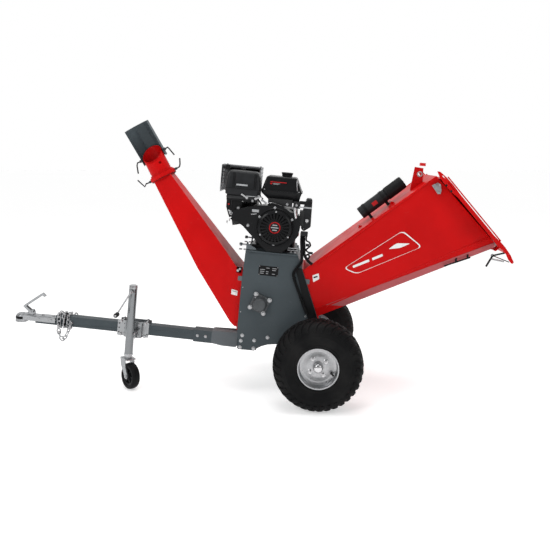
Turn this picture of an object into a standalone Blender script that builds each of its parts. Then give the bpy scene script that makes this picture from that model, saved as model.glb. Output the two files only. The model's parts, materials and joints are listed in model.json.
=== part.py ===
"""Towed wood chipper: drum rotor, petrol engine, feed hopper, discharge chute, drawbar with jack.

Units are metres, +Z up, -X towards the coupler, +X towards the feed hopper.
The machine is drawn level, with its origin on the wheel axle, under the empty "machine_level".
That empty carries the nose-up slope that the machine has while it stands on its jockey wheel.
"""

import math

import bmesh
import bpy
from mathutils import Matrix, Vector

# Stance
WHEEL_RADIUS = 0.2415
AXLE_X = 0.3952
NOSE_UP = math.radians(5.3)
TRACK_HALF = 0.35
GAP = 0.0003

# Drawbar, socket and axle
DRAWBAR_HALF = 0.030
DRAWBAR_WALL = 0.004
DRAWBAR_Z = -0.018
DRAWBAR_FRONT = -1.690
DRAWBAR_BACK = -0.420
SOCKET_HALF = 0.0355
AXLE_HALF = 0.0295
STUB_RADIUS = 0.0125
HUB_BORE = 0.0128

# Jockey wheel and jack
JACK_X = -1.091
JACK_Y = -0.100
JACK_YAW = math.radians(-43)
JACK_TRAIL = 0.040
JOCKEY_RADIUS = 0.0745
JACK_TOP = 0.259
JACK_FOOT = -0.155

# Rotor housing
PLATE_OUT = 0.170
PLATE_THICK = 0.006
INSIDE_HALF = PLATE_OUT - PLATE_THICK - GAP
DECK_TOP = 0.546
DECK_THICK = 0.0072
HOUSING_LEFT = -0.463
HOUSING_RIGHT_TOP = -0.160
REAR_SLOPE = 0.4155
FLOOR_Z = 0.066

# Rotor and belt drive
ROTOR = (-0.348, 0.250)
ROTOR_RADIUS = 0.098
SHAFT_RADIUS = 0.0175
CRANK = (-0.302, 0.689)
CRANK_RADIUS = 0.0127
ROTOR_PULLEY_RADIUS = 0.085
ENGINE_PULLEY_RADIUS = 0.055
PULLEY_NEAR = 0.215
PULLEY_FAR = 0.262

# Chute and spout
SPOUT_FOOT = (-0.993, 0.906)
SPOUT_LEAN = math.radians(32.5)
TUBE_RADIUS = 0.0625
TUBE_WALL = 0.0025
COLLAR_RADIUS = 0.077
SPOUT_PIVOT = 0.132
SHEET = 0.003

# Hopper and tray
HOPPER_THICK = 0.0025
TRAY_HINGE = (0.915, 0.680)
TRAY_HALF = 0.285
TRAY_TOP = 0.558
TRAY_FOOT = -0.074

SEGMENTS = 32


# ---------------------------------------------------------------- helpers


def clear_scene():
    for obj in list(bpy.data.objects):
        bpy.data.objects.remove(obj)


def new_collection(name):
    made = bpy.data.collections.new(name)
    bpy.context.scene.collection.children.link(made)
    return made


def finish(name, colour, roughness, metallic=0.0):
    made = bpy.data.materials.new(name)
    made.use_nodes = True
    shader = made.node_tree.nodes["Principled BSDF"]
    shader.inputs["Base Color"].default_value = (*colour, 1.0)
    shader.inputs["Roughness"].default_value = roughness
    shader.inputs["Metallic"].default_value = metallic
    return made


def add(name, mesh, material, parent=None, location=(0, 0, 0), rotation=(0, 0, 0)):
    obj = bpy.data.objects.new(name, mesh)
    PARTS.objects.link(obj)
    obj.data.materials.clear()
    obj.data.materials.append(material)
    obj.parent = parent
    obj.location = location
    obj.rotation_euler = rotation
    return obj


def empty(name, parent=None, location=(0, 0, 0), rotation=(0, 0, 0)):
    obj = bpy.data.objects.new(name, None)
    PARTS.objects.link(obj)
    obj.parent = parent
    obj.location = location
    obj.rotation_euler = rotation
    return obj


def mesh_of(bm, name="mesh"):
    bmesh.ops.recalc_face_normals(bm, faces=bm.faces)
    mesh = bpy.data.meshes.new(name)
    bm.to_mesh(mesh)
    bm.free()
    return mesh


def box_mesh(low, high):
    """A box between two corners."""
    low, high = Vector(low), Vector(high)
    bm = bmesh.new()
    size = high - low
    matrix = Matrix.Translation((low + high) / 2) @ Matrix.Diagonal((*size, 1.0))
    bmesh.ops.create_cube(bm, size=1.0, matrix=matrix)
    return mesh_of(bm)


def rod_mesh(start, end, radius, segments=SEGMENTS, end_radius=None):
    """A cylinder or a cone between two points."""
    start, end = Vector(start), Vector(end)
    along = end - start
    turn = along.to_track_quat("Z", "Y").to_matrix().to_4x4()
    bm = bmesh.new()
    bmesh.ops.create_cone(
        bm,
        cap_ends=True,
        segments=segments,
        radius1=radius,
        radius2=radius if end_radius is None else end_radius,
        depth=along.length,
        matrix=Matrix.Translation((start + end) / 2) @ turn,
    )
    return mesh_of(bm)


def take_mesh(obj):
    """The evaluated mesh of a helper object, which is then removed."""
    graph = bpy.context.evaluated_depsgraph_get()
    graph.update()
    mesh = bpy.data.meshes.new_from_object(obj.evaluated_get(graph))
    matrix = obj.matrix_world.copy()
    bpy.data.objects.remove(obj)
    bm = bmesh.new()
    bm.from_mesh(mesh)
    bmesh.ops.transform(bm, matrix=matrix, verts=bm.verts)
    bmesh.ops.remove_doubles(bm, verts=bm.verts, dist=1e-6)
    return mesh_of(bm)


def plate_mesh(outline, near, far):
    """A flat plate in the XZ plane, from y = near to y = far."""
    curve = bpy.data.curves.new("outline", "CURVE")
    curve.dimensions = "2D"
    curve.fill_mode = "BOTH"
    curve.extrude = abs(far - near) / 2
    spline = curve.splines.new("POLY")
    spline.points.add(len(outline) - 1)
    for point, (x, z) in zip(spline.points, outline):
        point.co = (x, z, 0, 1)
    spline.use_cyclic_u = True
    obj = bpy.data.objects.new("outline", curve)
    PARTS.objects.link(obj)
    obj.rotation_euler = (math.radians(90), 0, 0)
    obj.location = (0, (near + far) / 2, 0)
    bpy.context.view_layer.update()
    return take_mesh(obj)


def arc(centre, radius, start, stop, steps):
    """Points along an arc in the XZ plane, angles in degrees from +X towards +Z."""
    points = []
    for i in range(steps + 1):
        angle = math.radians(start + (stop - start) * i / steps)
        points.append((centre[0] + radius * math.cos(angle), centre[1] + radius * math.sin(angle)))
    return points


def turned_mesh(profile, steps=SEGMENTS, cyclic=False):
    """A turned solid about Z from (radius, height) points that run down its outer side."""
    mesh = bpy.data.meshes.new("profile")
    edges = [(i, i + 1) for i in range(len(profile) - 1)]
    if cyclic:
        edges.append((len(profile) - 1, 0))
    mesh.from_pydata([(r, 0, z) for r, z in profile], edges, [])
    obj = bpy.data.objects.new("profile", mesh)
    PARTS.objects.link(obj)
    screw = obj.modifiers.new("turn", "SCREW")
    screw.steps = steps
    screw.render_steps = steps
    screw.use_merge_vertices = True
    screw.merge_threshold = 0.00001
    return take_mesh(obj)


def moved(mesh, matrix):
    mesh.transform(matrix)
    return mesh


def along_y(mesh, centre, flip=False):
    """Stands a turned mesh on the Y axis through an XZ point; its +Z goes to -Y, or to +Y flipped."""
    turn = Matrix.Rotation(math.radians(-90 if flip else 90), 4, "X")
    place = Matrix.Translation((centre[0], 0, centre[1]))
    return moved(mesh, place @ turn)


def combine(mesh, others, operation):
    """Joins or cuts a mesh with others through Boolean modifiers."""
    target = bpy.data.objects.new("target", mesh)
    CUTTERS.objects.link(target)
    helpers = []
    for other in others:
        helper = bpy.data.objects.new("helper", other)
        CUTTERS.objects.link(helper)
        helper.hide_render = True
        helper.display_type = "WIRE"
        helpers.append(helper)
        step = target.modifiers.new("step", "BOOLEAN")
        step.operation = operation
        step.solver = "EXACT"
        step.object = helper
    bpy.context.view_layer.update()
    result = take_mesh(target)
    for helper in helpers:
        bpy.data.objects.remove(helper)
    return result


def joined(mesh, *others):
    return combine(mesh, others, "UNION")


def cut(mesh, *others):
    return combine(mesh, others, "DIFFERENCE")


def loft_mesh(sections, closed_ends=True):
    """Skins equal-length rings of points."""
    bm = bmesh.new()
    rings = [[bm.verts.new(p) for p in section] for section in sections]
    for first, second in zip(rings, rings[1:]):
        for i in range(len(first)):
            j = (i + 1) % len(first)
            bm.faces.new((first[i], first[j], second[j], second[i]))
    if closed_ends:
        bm.faces.new(rings[0][::-1])
        bm.faces.new(rings[-1])
    return mesh_of(bm)


def thick(mesh, thickness, offset=-1.0):
    """An open surface given a wall; offset -1 keeps the surface as the outside."""
    obj = bpy.data.objects.new("sheet", mesh)
    PARTS.objects.link(obj)
    wall = obj.modifiers.new("wall", "SOLIDIFY")
    wall.thickness = thickness
    wall.offset = offset
    wall.use_even_offset = True
    return take_mesh(obj)


def pan_mesh(outline, front, back, thickness):
    """A deep cover: a front plate at y = front with walls running back to y = back, open there."""
    bm = bmesh.new()
    face = bm.faces.new([bm.verts.new((x, front, z)) for x, z in outline])
    made = bmesh.ops.extrude_edge_only(bm, edges=face.edges[:])
    new_verts = [v for v in made["geom"] if isinstance(v, bmesh.types.BMVert)]
    bmesh.ops.translate(bm, verts=new_verts, vec=(0, back - front, 0))
    bmesh.ops.recalc_face_normals(bm, faces=bm.faces)
    mesh = bpy.data.meshes.new("pan")
    bm.to_mesh(mesh)
    bm.free()
    return thick(mesh, thickness)


def bevelled(mesh, width, segments=2, angle=40):
    obj = bpy.data.objects.new("block", mesh)
    PARTS.objects.link(obj)
    bevel = obj.modifiers.new("bevel", "BEVEL")
    bevel.width = width
    bevel.segments = segments
    bevel.limit_method = "ANGLE"
    bevel.angle_limit = math.radians(angle)
    return take_mesh(obj)


def tube_mesh(points, radius, resolution=2, smooth_steps=0):
    """A round bar or tube along a list of points."""
    curve = bpy.data.curves.new("run", "CURVE")
    curve.dimensions = "3D"
    curve.bevel_depth = radius
    curve.bevel_resolution = resolution
    curve.use_fill_caps = True
    if smooth_steps:
        points = smooth_route(points, smooth_steps)
    spline = curve.splines.new("POLY")
    spline.points.add(len(points) - 1)
    for knot, point in zip(spline.points, points):
        knot.co = (*point, 1)
    obj = bpy.data.objects.new("run", curve)
    PARTS.objects.link(obj)
    bpy.context.view_layer.update()
    return take_mesh(obj)


def smooth_route(points, steps):
    """A smooth curve through the route's own points."""
    padded = [Vector(points[0])] + [Vector(p) for p in points] + [Vector(points[-1])]
    route = []
    for a, b, c, d in zip(padded, padded[1:], padded[2:], padded[3:]):
        for i in range(steps):
            t = i / steps
            route.append(
                0.5
                * (
                    2 * b
                    + (c - a) * t
                    + (2 * a - 5 * b + 4 * c - d) * t * t
                    + (3 * b - a - 3 * c + d) * t * t * t
                )
            )
    route.append(padded[-1])
    return route


def hexagon(centre, y, radius, length):
    """A bolt head whose axis lies on Y."""
    start = (centre[0], y, centre[1])
    end = (centre[0], y + length, centre[1])
    return rod_mesh(start, end, radius, 6)


def smooth(obj, angle=35):
    obj.data.shade_smooth()
    obj.data.set_sharp_from_angle(angle=math.radians(angle))
    return obj


def pivot(mesh, point):
    """Moves a mesh so that a machine point becomes its origin."""
    return moved(mesh, Matrix.Translation(-Vector(point)))


# ---------------------------------------------------------------- drawbar, chassis and wheels


def build_chassis(level):
    z = DRAWBAR_Z
    socket = box_mesh((-0.730, -SOCKET_HALF, z - SOCKET_HALF), (-0.348, SOCKET_HALF, z + SOCKET_HALF))
    spine = box_mesh((-0.360, -SOCKET_HALF, -0.012), (0.0, SOCKET_HALF, z + SOCKET_HALF))
    cross = box_mesh((-0.4545, -INSIDE_HALF, -0.024), (-0.346, INSIDE_HALF, 0.060))
    cross = cut(cross, box_mesh((-0.4480, -1, -0.1), (-0.3525, 1, 0.0535)))
    axle = box_mesh((-AXLE_HALF, -0.255, -AXLE_HALF), (AXLE_HALF, 0.255, AXLE_HALF))
    axle = cut(axle, box_mesh((-0.0235, -0.240, -0.1), (0.0235, 0.240, 0.0235)))
    pieces = [spine, cross, axle]
    for side in (-1, 1):
        pieces.append(rod_mesh((0, side * 0.250, 0), (0, side * 0.300, 0), 0.020, 16))
        pieces.append(rod_mesh((0, side * 0.290, 0), (0, side * 0.405, 0), STUB_RADIUS, 16))
        gusset = [(-0.150, -0.008), (-0.020, -0.014), (-0.020, 0.029), (-0.150, 0.010)]
        pieces.append(plate_mesh(gusset, side * 0.100, side * 0.030))
    bore = DRAWBAR_HALF + GAP
    hollow = box_mesh((-0.740, -bore, z - bore), (-0.036, bore, z + bore))
    mesh = cut(joined(socket, *pieces), hollow)
    return add("chassis", mesh, STEEL_GREY, level)


def build_drawbar(level):
    half, inner = DRAWBAR_HALF, DRAWBAR_HALF - DRAWBAR_WALL
    z = DRAWBAR_Z
    tube = box_mesh((-1.566, -half, z - half), (DRAWBAR_BACK, half, z + half))
    hollow = box_mesh((-1.480, -inner, z - inner), (DRAWBAR_BACK + 0.01, inner, z + inner))
    tongue = box_mesh((DRAWBAR_FRONT, -half, z - half), (-1.500, half, z - half + 0.010))
    mesh = joined(cut(tube, hollow), tongue)
    return add("drawbar_tube", mesh, STEEL_GREY, level)


def build_coupler(level):
    ball = Matrix.Translation((-1.786, 0, 0))
    head = turned_mesh([(0, 0.0), (0.014, -0.001), (0.026, -0.006), (0.033, -0.013), (0.036, -0.022),
                        (0.036, -0.0525), (0, -0.0525)], 24)
    cup = turned_mesh([(0, -0.0075), (0.012, -0.0090), (0.0205, -0.0135), (0.0250, -0.021),
                       (0.0250, -0.060), (0, -0.060)], 24)
    channel = box_mesh((-1.786, -0.0310, -0.0375), (-1.5685, 0.0310, -0.0035))
    throat = box_mesh((-1.738, -0.0280, -0.060), (-1.560, 0.0280, -0.0080))
    mesh = cut(joined(moved(head, ball), channel), throat, moved(cup, ball))
    ears = []
    for side in (-1, 1):
        lobe = [(-1.748, -0.010), (-1.706, -0.010), (-1.713, 0.022), (-1.741, 0.022)]
        ears.append(plate_mesh(lobe, side * 0.0165, side * 0.0125))
    mesh = joined(mesh, *ears)
    add("coupler_body", mesh, ZINC, level)

    centre = (-1.727, 0, 0.013)
    lever = plate_mesh([(-1.716, 0.006), (-1.730, 0.001), (-1.777, 0.040), (-1.768, 0.049)], -0.011, 0.011)
    handle = plate_mesh([(-1.779, 0.034), (-1.664, 0.125), (-1.646, 0.110), (-1.641, 0.117),
                         (-1.664, 0.136), (-1.775, 0.050)], -0.014, 0.014)
    lever = joined(lever, handle)
    hub = rod_mesh((centre[0], -0.0118, centre[2]), (centre[0], 0.0118, centre[2]), 0.010, 16)
    lever = joined(lever, hub)
    smooth(add("coupler_lever", pivot(lever, centre), ZINC, level, centre))


def build_chain(level):
    """The safety chain's outer shape: a loop round the drawbar with a hanging bight."""
    bore = DRAWBAR_HALF + 0.0012
    outline = [(-0.050, 0.022), (-0.034, 0.036), (0.034, 0.036), (0.050, 0.022), (0.052, -0.050),
               (0.034, -0.092), (0.012, -0.128), (-0.012, -0.128), (-0.034, -0.092), (-0.052, -0.050)]
    ring = plate_mesh(outline, -0.038, 0.038)
    hole = box_mesh((-bore, -0.1, DRAWBAR_Z - bore), (bore, 0.1, DRAWBAR_Z + bore))
    ring = cut(ring, hole)
    mesh = moved(ring, Matrix.Translation((-1.512, 0, 0)) @ Matrix.Rotation(math.radians(90), 4, "Z"))
    add("safety_chain", mesh, ZINC, level)


def tyre_profile():
    """Half of the tyre wall from bead to crown, outside then back inside."""
    outer = [(0.106, 0.070), (0.118, 0.078), (0.150, 0.088), (0.186, 0.089), (0.214, 0.083),
             (0.231, 0.068), (0.2390, 0.048), (WHEEL_RADIUS, 0.022)]
    inner = [(0.232, 0.022), (0.224, 0.058), (0.208, 0.074), (0.150, 0.079), (0.118, 0.069),
             (0.106, 0.061)]
    outer = [(r, -y) for r, y in outer]
    inner = [(r, -y) for r, y in inner]
    across = [(r, -y) for r, y in reversed(outer)]
    back = [(r, -y) for r, y in reversed(inner)]
    return outer + across + back + inner


def build_wheels(ground):
    tyre = turned_mesh(tyre_profile()[::-1], 36, cyclic=True)
    rim_outer = [(0, 0.0775), (0.018, 0.0765), (0.025, 0.070), (0.027, 0.054), (0.052, 0.040),
                 (0.085, 0.034), (0.1005, 0.040), (0.1020, 0.0775), (0.1125, 0.0795),
                 (0.1130, 0.0765), (0.1056, 0.0725)]
    rim_inner = [(0.1056, -0.0725), (0.1130, -0.0765), (0.1125, -0.0795), (0.1020, -0.0775),
                 (0.1005, 0.030), (0.085, 0.030), (0.052, 0.036), (0.030, 0.040), (0.030, -0.040),
                 (HUB_BORE, -0.040), (HUB_BORE, 0.060), (0, 0.060)]
    rim = turned_mesh(rim_outer + rim_inner, 32)
    for side, word in ((-1, "near"), (1, "far")):
        turn = math.radians(90 if side < 0 else -90)
        place = (0, side * TRACK_HALF, 0)
        smooth(add("tyre_" + word, tyre.copy(), RUBBER, ground, place, (turn, 0, 0)))
        nuts = []
        for i in range(4):
            angle = math.radians(45 + 90 * i)
            x, y = 0.050 * math.cos(angle), 0.050 * math.sin(angle)
            nuts.append(rod_mesh((x, y, 0.036), (x, y, 0.052), 0.0095, 6))
        valve = rod_mesh((0.094, 0, 0.030), (0.090, 0, 0.060), 0.004, 8)
        smooth(add("rim_" + word, joined(rim.copy(), *nuts, valve), ZINC, ground, place, (turn, 0, 0)))


# ---------------------------------------------------------------- jack


def jockey_axle_height():
    """Height of the jockey wheel's centre over the axle, in the machine frame, when it meets the ground."""
    lean = abs(math.sin(JACK_YAW) * math.sin(NOSE_UP))
    world_height = JOCKEY_RADIUS * math.sqrt(1 - lean * lean) + 0.010 * lean
    x = JACK_X + JACK_TRAIL * math.cos(JACK_YAW)
    return (world_height - WHEEL_RADIUS + x * math.sin(NOSE_UP)) / math.cos(NOSE_UP)


def build_jack(level):
    z = DRAWBAR_Z
    near = -DRAWBAR_HALF - 0.0005
    plate_out = near - 0.006
    clamp = box_mesh((-1.187, plate_out, z - 0.048), (-0.999, near, z + 0.084))
    back = box_mesh((-1.187, -near, z - 0.044), (-0.999, -near + 0.006, z + 0.044))
    ties = []
    for x in (-1.165, -1.021):
        for height in (-0.038, 0.038):
            start = (x, plate_out - 0.010, z + height)
            ties.append(rod_mesh(start, (x, -near + 0.014, z + height), 0.0055, 8))
    boss = rod_mesh((JACK_X, plate_out + 0.002, z), (JACK_X, plate_out - 0.012, z), 0.026, 20)
    add("jack_clamp", joined(clamp, back, *ties, boss), ZINC, level)

    swing = (JACK_X, plate_out - 0.012 - GAP, z)
    sleeve = rod_mesh((JACK_X, JACK_Y, JACK_FOOT), (JACK_X, JACK_Y, JACK_TOP), 0.0240, 24)
    bracket = box_mesh((JACK_X - 0.048, swing[1] - 0.005, z - 0.046), (JACK_X + 0.054, swing[1], z + 0.048))
    web = box_mesh((JACK_X - 0.020, JACK_Y, z - 0.044), (JACK_X + 0.020, swing[1] - 0.002, z + 0.044))
    gear_boss = rod_mesh((JACK_X, JACK_Y, 0.227), (JACK_X, JACK_Y - 0.032, 0.227), 0.013, 16)
    bore = rod_mesh((JACK_X, JACK_Y, JACK_FOOT - 0.01), (JACK_X, JACK_Y, 0.248), 0.0206, 24)
    outer = cut(joined(sleeve, bracket, web, gear_boss), bore)
    smooth(add("jack_outer_tube", pivot(outer, swing), ZINC, level, swing))

    axle_z = jockey_axle_height()
    crown_z = axle_z + 0.0900
    axis = (JACK_X, JACK_Y, crown_z)
    inner = rod_mesh((JACK_X, JACK_Y, crown_z + 0.0063), (JACK_X, JACK_Y, 0.205), 0.0200, 24)
    hollow = rod_mesh((JACK_X, JACK_Y, crown_z), (JACK_X, JACK_Y, 0.195), 0.0165, 24)
    smooth(add("jack_inner_tube", pivot(cut(inner, hollow), axis), ZINC, level, axis))

    crank_axis = (JACK_X, JACK_Y - 0.0325, 0.227)
    elbow = (JACK_X, JACK_Y - 0.052, 0.227)
    end = (JACK_X - 0.062, JACK_Y - 0.056, 0.108)
    tip = (JACK_X - 0.067, JACK_Y - 0.058, 0.098)
    rod = tube_mesh([crank_axis, elbow, end, tip], 0.0045, 2)
    knob_foot = (tip[0], tip[1] - 0.034, tip[2] - 0.006)
    knob = rod_mesh(knob_foot, (tip[0], tip[1] + 0.010, tip[2] - 0.006), 0.0135, 16)
    smooth(add("jack_crank", pivot(joined(rod, knob), crank_axis), ZINC, level, crank_axis))

    drop = axle_z - crown_z
    crown = bevelled(box_mesh((-0.036, -0.031, 0), (0.040, 0.031, 0.006)), 0.004, 1)
    stem = rod_mesh((0, 0, 0.003), (0, 0, 0.060), 0.0160, 20)
    legs = []
    for side in (-1, 1):
        outline = [(-0.036, 0.005), (0.018, 0.005), (0.026, -0.040)]
        outline += arc((JACK_TRAIL, drop), 0.015, 20, -160, 8)
        outline += [(-0.022, -0.040)]
        legs.append(plate_mesh(outline, side * 0.0310, side * 0.0265))
    bolt = rod_mesh((JACK_TRAIL, -0.037, drop), (JACK_TRAIL, 0.037, drop), 0.0055, 10)
    fork = joined(crown, stem, *legs, bolt)
    smooth(add("jack_fork", fork, ZINC, level, axis, (0, 0, JACK_YAW)))

    fork_frame = empty("jack_fork_frame", level, axis, (0, 0, JACK_YAW))
    half = [(0.0058, 0.0240), (0.022, 0.0240), (0.030, 0.0190), (0.050, 0.0190), (0.056, 0.0235),
            (0.068, 0.0215), (0.0725, 0.0165), (JOCKEY_RADIUS, 0.0100)]
    profile = half + [(r, -h) for r, h in reversed(half)]
    wheel = turned_mesh(profile, 40, cyclic=True)
    wheel_turn = (math.radians(90), 0, 0)
    smooth(add("jack_wheel", wheel, HARD_RUBBER, fork_frame, (JACK_TRAIL, 0, drop), wheel_turn))


# ---------------------------------------------------------------- rotor housing


def rear_x(z):
    """Outer face of the sloping rear wall at a height."""
    return HOUSING_RIGHT_TOP + (0.5385 - z) * REAR_SLOPE


def side_outline():
    top = DECK_TOP - DECK_THICK - GAP
    skirt = [(-0.448, -0.026), (-0.357, -0.0245)]
    sweep = [(-0.342, -0.010), (-0.318, 0.005), (-0.285, 0.018), (-0.242, 0.025)]
    foot = AXLE_HALF + 0.0008
    sill = [(-0.160, foot), (rear_x(foot), foot), (rear_x(top), top)]
    return [(-0.455, top), (-0.462, 0.353), (HOUSING_LEFT, 0.083)] + skirt + sweep + sill


def build_side_plates(level):
    frame_bolts = [(-0.431, 0.056), (-0.436, 0.024), (-0.361, 0.034), (-0.287, 0.059),
                   (-0.438, -0.013), (-0.361, -0.012), (-0.086, 0.201)]
    hole = rod_mesh((ROTOR[0], -1, ROTOR[1]), (ROTOR[0], 1, ROTOR[1]), 0.026, 24)
    for side, word in ((-1, "near"), (1, "far")):
        outer = side * PLATE_OUT
        inner = side * (PLATE_OUT - PLATE_THICK)
        plate = plate_mesh(side_outline(), outer, inner)
        extras = [hexagon(at, outer - side * 0.002, 0.0105, side * 0.009) for at in frame_bolts]
        for low, high in (((-0.484, 0.366), (-0.455, 0.392)), ((-0.128, 0.385), (-0.083, 0.412))):
            near = side * (PLATE_OUT - 0.0010)
            far = side * (PLATE_OUT - PLATE_THICK + 0.0022)
            extras.append(box_mesh((low[0], min(near, far), low[1]), (high[0], max(near, far), high[1])))
        mesh = cut(joined(plate, *extras), hole.copy())
        add("side_plate_" + word, mesh, STEEL_GREY, level)


def build_wraps(level):
    top = DECK_TOP - DECK_THICK - GAP
    wall = 0.005
    half = INSIDE_HALF - GAP
    outline = [(-0.4535, top), (-0.4605, 0.353), (-0.4615, 0.083), (-0.4560, FLOOR_Z),
               (0.020, FLOOR_Z), (0.020, FLOOR_Z + wall), (-0.4510, FLOOR_Z + wall),
               (-0.4565, 0.083), (-0.4555, 0.353), (-0.4485, top)]
    wrap = plate_mesh(outline, -half, half)
    port = box_mesh((-0.60, -0.130, 0.096), (-0.40, 0.130, 0.404))
    add("housing_wrap", cut(wrap, port), STEEL_GREY, level)

    inset = 0.0015
    low, high = FLOOR_Z + wall + 0.001, top
    band = [(rear_x(low) - inset, low), (rear_x(high) - inset, high),
            (rear_x(high) - inset - wall, high), (rear_x(low) - inset - wall, low)]
    rear = plate_mesh(band, -half, half)
    port = box_mesh((-0.30, -0.146, 0.206), (0.20, 0.146, 0.452))
    add("rear_wall", cut(rear, port), STEEL_GREY, level)

    deck = box_mesh((-0.452, -0.190, DECK_TOP - DECK_THICK), (HOUSING_RIGHT_TOP, 0.190, DECK_TOP))
    brackets = []
    for y in (-0.150, 0.150):
        brackets.append(box_mesh((-0.452, y - 0.020, DECK_TOP - 0.002), (-0.446, y + 0.020, 0.584)))
        brackets.append(rod_mesh((-0.490, y, 0.570), (-0.430, y, 0.570), 0.005, 8))
        brackets.append(rod_mesh((-0.488, y, 0.570), (-0.478, y, 0.570), 0.0095, 6))
    add("engine_deck", joined(deck, *brackets), STEEL_GREY, level)


# ---------------------------------------------------------------- rotor and belt drive


def build_rotor(level):
    x, z = ROTOR
    centre = (x, 0, z)
    shaft = rod_mesh((x, -0.193, z), (x, 0.276, z), SHAFT_RADIUS, 24)
    smooth(add("rotor_shaft", pivot(shaft, centre), BRIGHT_STEEL, level, centre))

    drum = rod_mesh((x, -0.150, z), (x, 0.150, z), ROTOR_RADIUS, 36)
    bore = rod_mesh((x, -0.2, z), (x, 0.2, z), SHAFT_RADIUS + GAP, 24)
    pocket = turned_mesh([(0.036, 0.30), (0.066, 0.30), (0.066, 0.010), (0.036, 0.010)], 24, cyclic=True)
    pockets = [along_y(pocket.copy(), ROTOR), along_y(pocket, ROTOR, flip=True)]
    notches = []
    for i in range(2):
        turn = Matrix.Translation(centre) @ Matrix.Rotation(math.radians(40 + 180 * i), 4, "Y")
        notches.append(moved(box_mesh((-0.026, -0.160, 0.074), (0.026, 0.160, 0.120)), turn))
        blade = [(-0.0255, 0.0744), (0.0255, 0.0744), (0.0255, 0.0840), (-0.012, 0.0840), (-0.0255, 0.1010)]
        knife = plate_mesh(blade, -0.149, 0.149)
        at = math.radians(40 + 180 * i)
        add(f"knife_{i + 1}", knife, BRIGHT_STEEL, level, centre, (0, at, 0))
    smooth(add("rotor_drum", pivot(cut(drum, bore, *pockets, *notches), centre), CAST, level, centre))

    anvil = box_mesh((-0.236, -0.150, 0.186), (-0.030, 0.150, 0.200))
    add("anvil", anvil, BRIGHT_STEEL, level)

    for side, word in ((-1, "near"), (1, "far")):
        flange = box_mesh((-0.050, -0.050, 0), (0.050, 0.050, 0.013))
        flange = bevelled(flange, 0.016, 2, 60)
        spin = Matrix.Rotation(math.radians(20), 4, "Z")
        flange = moved(flange, spin)
        cap_height = 0.046 if side < 0 else 0.026
        hub = turned_mesh([(0, cap_height), (0.030, cap_height), (0.040, cap_height - 0.010),
                           (0.042, 0.012), (0.042, 0.004), (0, 0.004)], 28)
        bolts = []
        for i in range(4):
            angle = math.radians(65 + 90 * i)
            px, py = 0.0585 * math.cos(angle), 0.0585 * math.sin(angle)
            bolts.append(rod_mesh((px, py, 0.010), (px, py, 0.024), 0.0095, 6))
        unit = joined(flange, hub, *bolts)
        depth = 0.026 if side < 0 else 0.060
        unit = cut(unit, rod_mesh((0, 0, -0.010), (0, 0, depth), SHAFT_RADIUS + GAP, 24))
        unit = along_y(unit, (0, 0), flip=side > 0)
        place = (x, side * (PLATE_OUT + GAP), z)
        smooth(add("bearing_" + word, unit, CAST, level, place), 30)


def pulley_mesh(radius, near, far):
    """A belt pulley about Y with a V groove, from y = near to y = far."""
    width = far - near
    groove = 0.014
    profile = [(0.006, width), (radius, width), (radius, width - 0.008), (radius - groove, width / 2 + 0.006),
               (radius - groove, width / 2 - 0.006), (radius, 0.008), (radius, 0), (0.006, 0)]
    mesh = turned_mesh([(0, width)] + profile[1:-1] + [(0, 0)], 32)
    mesh = along_y(mesh, (0, 0), flip=True)
    return moved(mesh, Matrix.Translation((0, near, 0)))


def build_drive(level):
    x, z = ROTOR
    pulley = pulley_mesh(ROTOR_PULLEY_RADIUS, PULLEY_NEAR, PULLEY_FAR)
    pulley = cut(pulley, rod_mesh((0, 0.1, 0), (0, 0.4, 0), SHAFT_RADIUS + GAP, 24))
    smooth(add("rotor_pulley", pulley, CAST, level, (x, 0, z)))

    crank = (CRANK[0], 0, CRANK[1])
    shaft = rod_mesh((0, -0.192, 0), (0, 0.276, 0), CRANK_RADIUS, 20)
    clutch = pulley_mesh(ENGINE_PULLEY_RADIUS, PULLEY_NEAR, PULLEY_FAR)
    flywheel = rod_mesh((0, -0.150, 0), (0, -0.125, 0), 0.088, 32)
    fan = rod_mesh((0, -0.186, 0), (0, -0.149, 0), 0.060, 24)
    shaft = joined(shaft, clutch, flywheel, fan)
    smooth(add("crankshaft", shaft, CAST, level, crank))

    middle = (PULLEY_NEAR + PULLEY_FAR) / 2
    add("drive_belt", belt_mesh(middle - 0.0055, middle + 0.0055), RUBBER, level)


def belt_loop(rotor_radius, engine_radius):
    """A loop round both pulleys: outer tangents and two arcs, in the XZ plane."""
    dx, dz = CRANK[0] - ROTOR[0], CRANK[1] - ROTOR[1]
    span = math.hypot(dx, dz)
    heading = math.degrees(math.atan2(dz, dx))
    spread = math.degrees(math.acos((rotor_radius - engine_radius) / span))
    around_crank = arc(CRANK, engine_radius, heading - spread, heading + spread, 14)
    around_rotor = arc(ROTOR, rotor_radius, heading + spread, heading + 360 - spread, 18)
    return around_crank + around_rotor


def belt_mesh(near, far):
    sit = 0.0134
    inside = belt_loop(ROTOR_PULLEY_RADIUS - sit, ENGINE_PULLEY_RADIUS - sit)
    outside = belt_loop(ROTOR_PULLEY_RADIUS - sit + 0.010, ENGINE_PULLEY_RADIUS - sit + 0.010)
    hole = plate_mesh(inside, near - 0.01, far + 0.01)
    return cut(plate_mesh(outside, near, far), hole)


def build_belt_guard(level):
    outline = belt_loop(0.106, 0.082)
    guard = pan_mesh(outline, 0.300, PLATE_OUT + 0.0285, 0.0025)
    feet = []
    for height in (0.330, 0.480):
        x = ROTOR[0] + (height - ROTOR[1]) * 0.1
        for offset in (-0.098, 0.098):
            low = (x + offset - 0.012, PLATE_OUT + 0.0004, height - 0.014)
            high = (x + offset + 0.012, PLATE_OUT + 0.0400, height + 0.014)
            feet.append(box_mesh(low, high))
    add("belt_guard", joined(guard, *feet), STEEL_GREY, level)


# ---------------------------------------------------------------- engine


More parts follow.
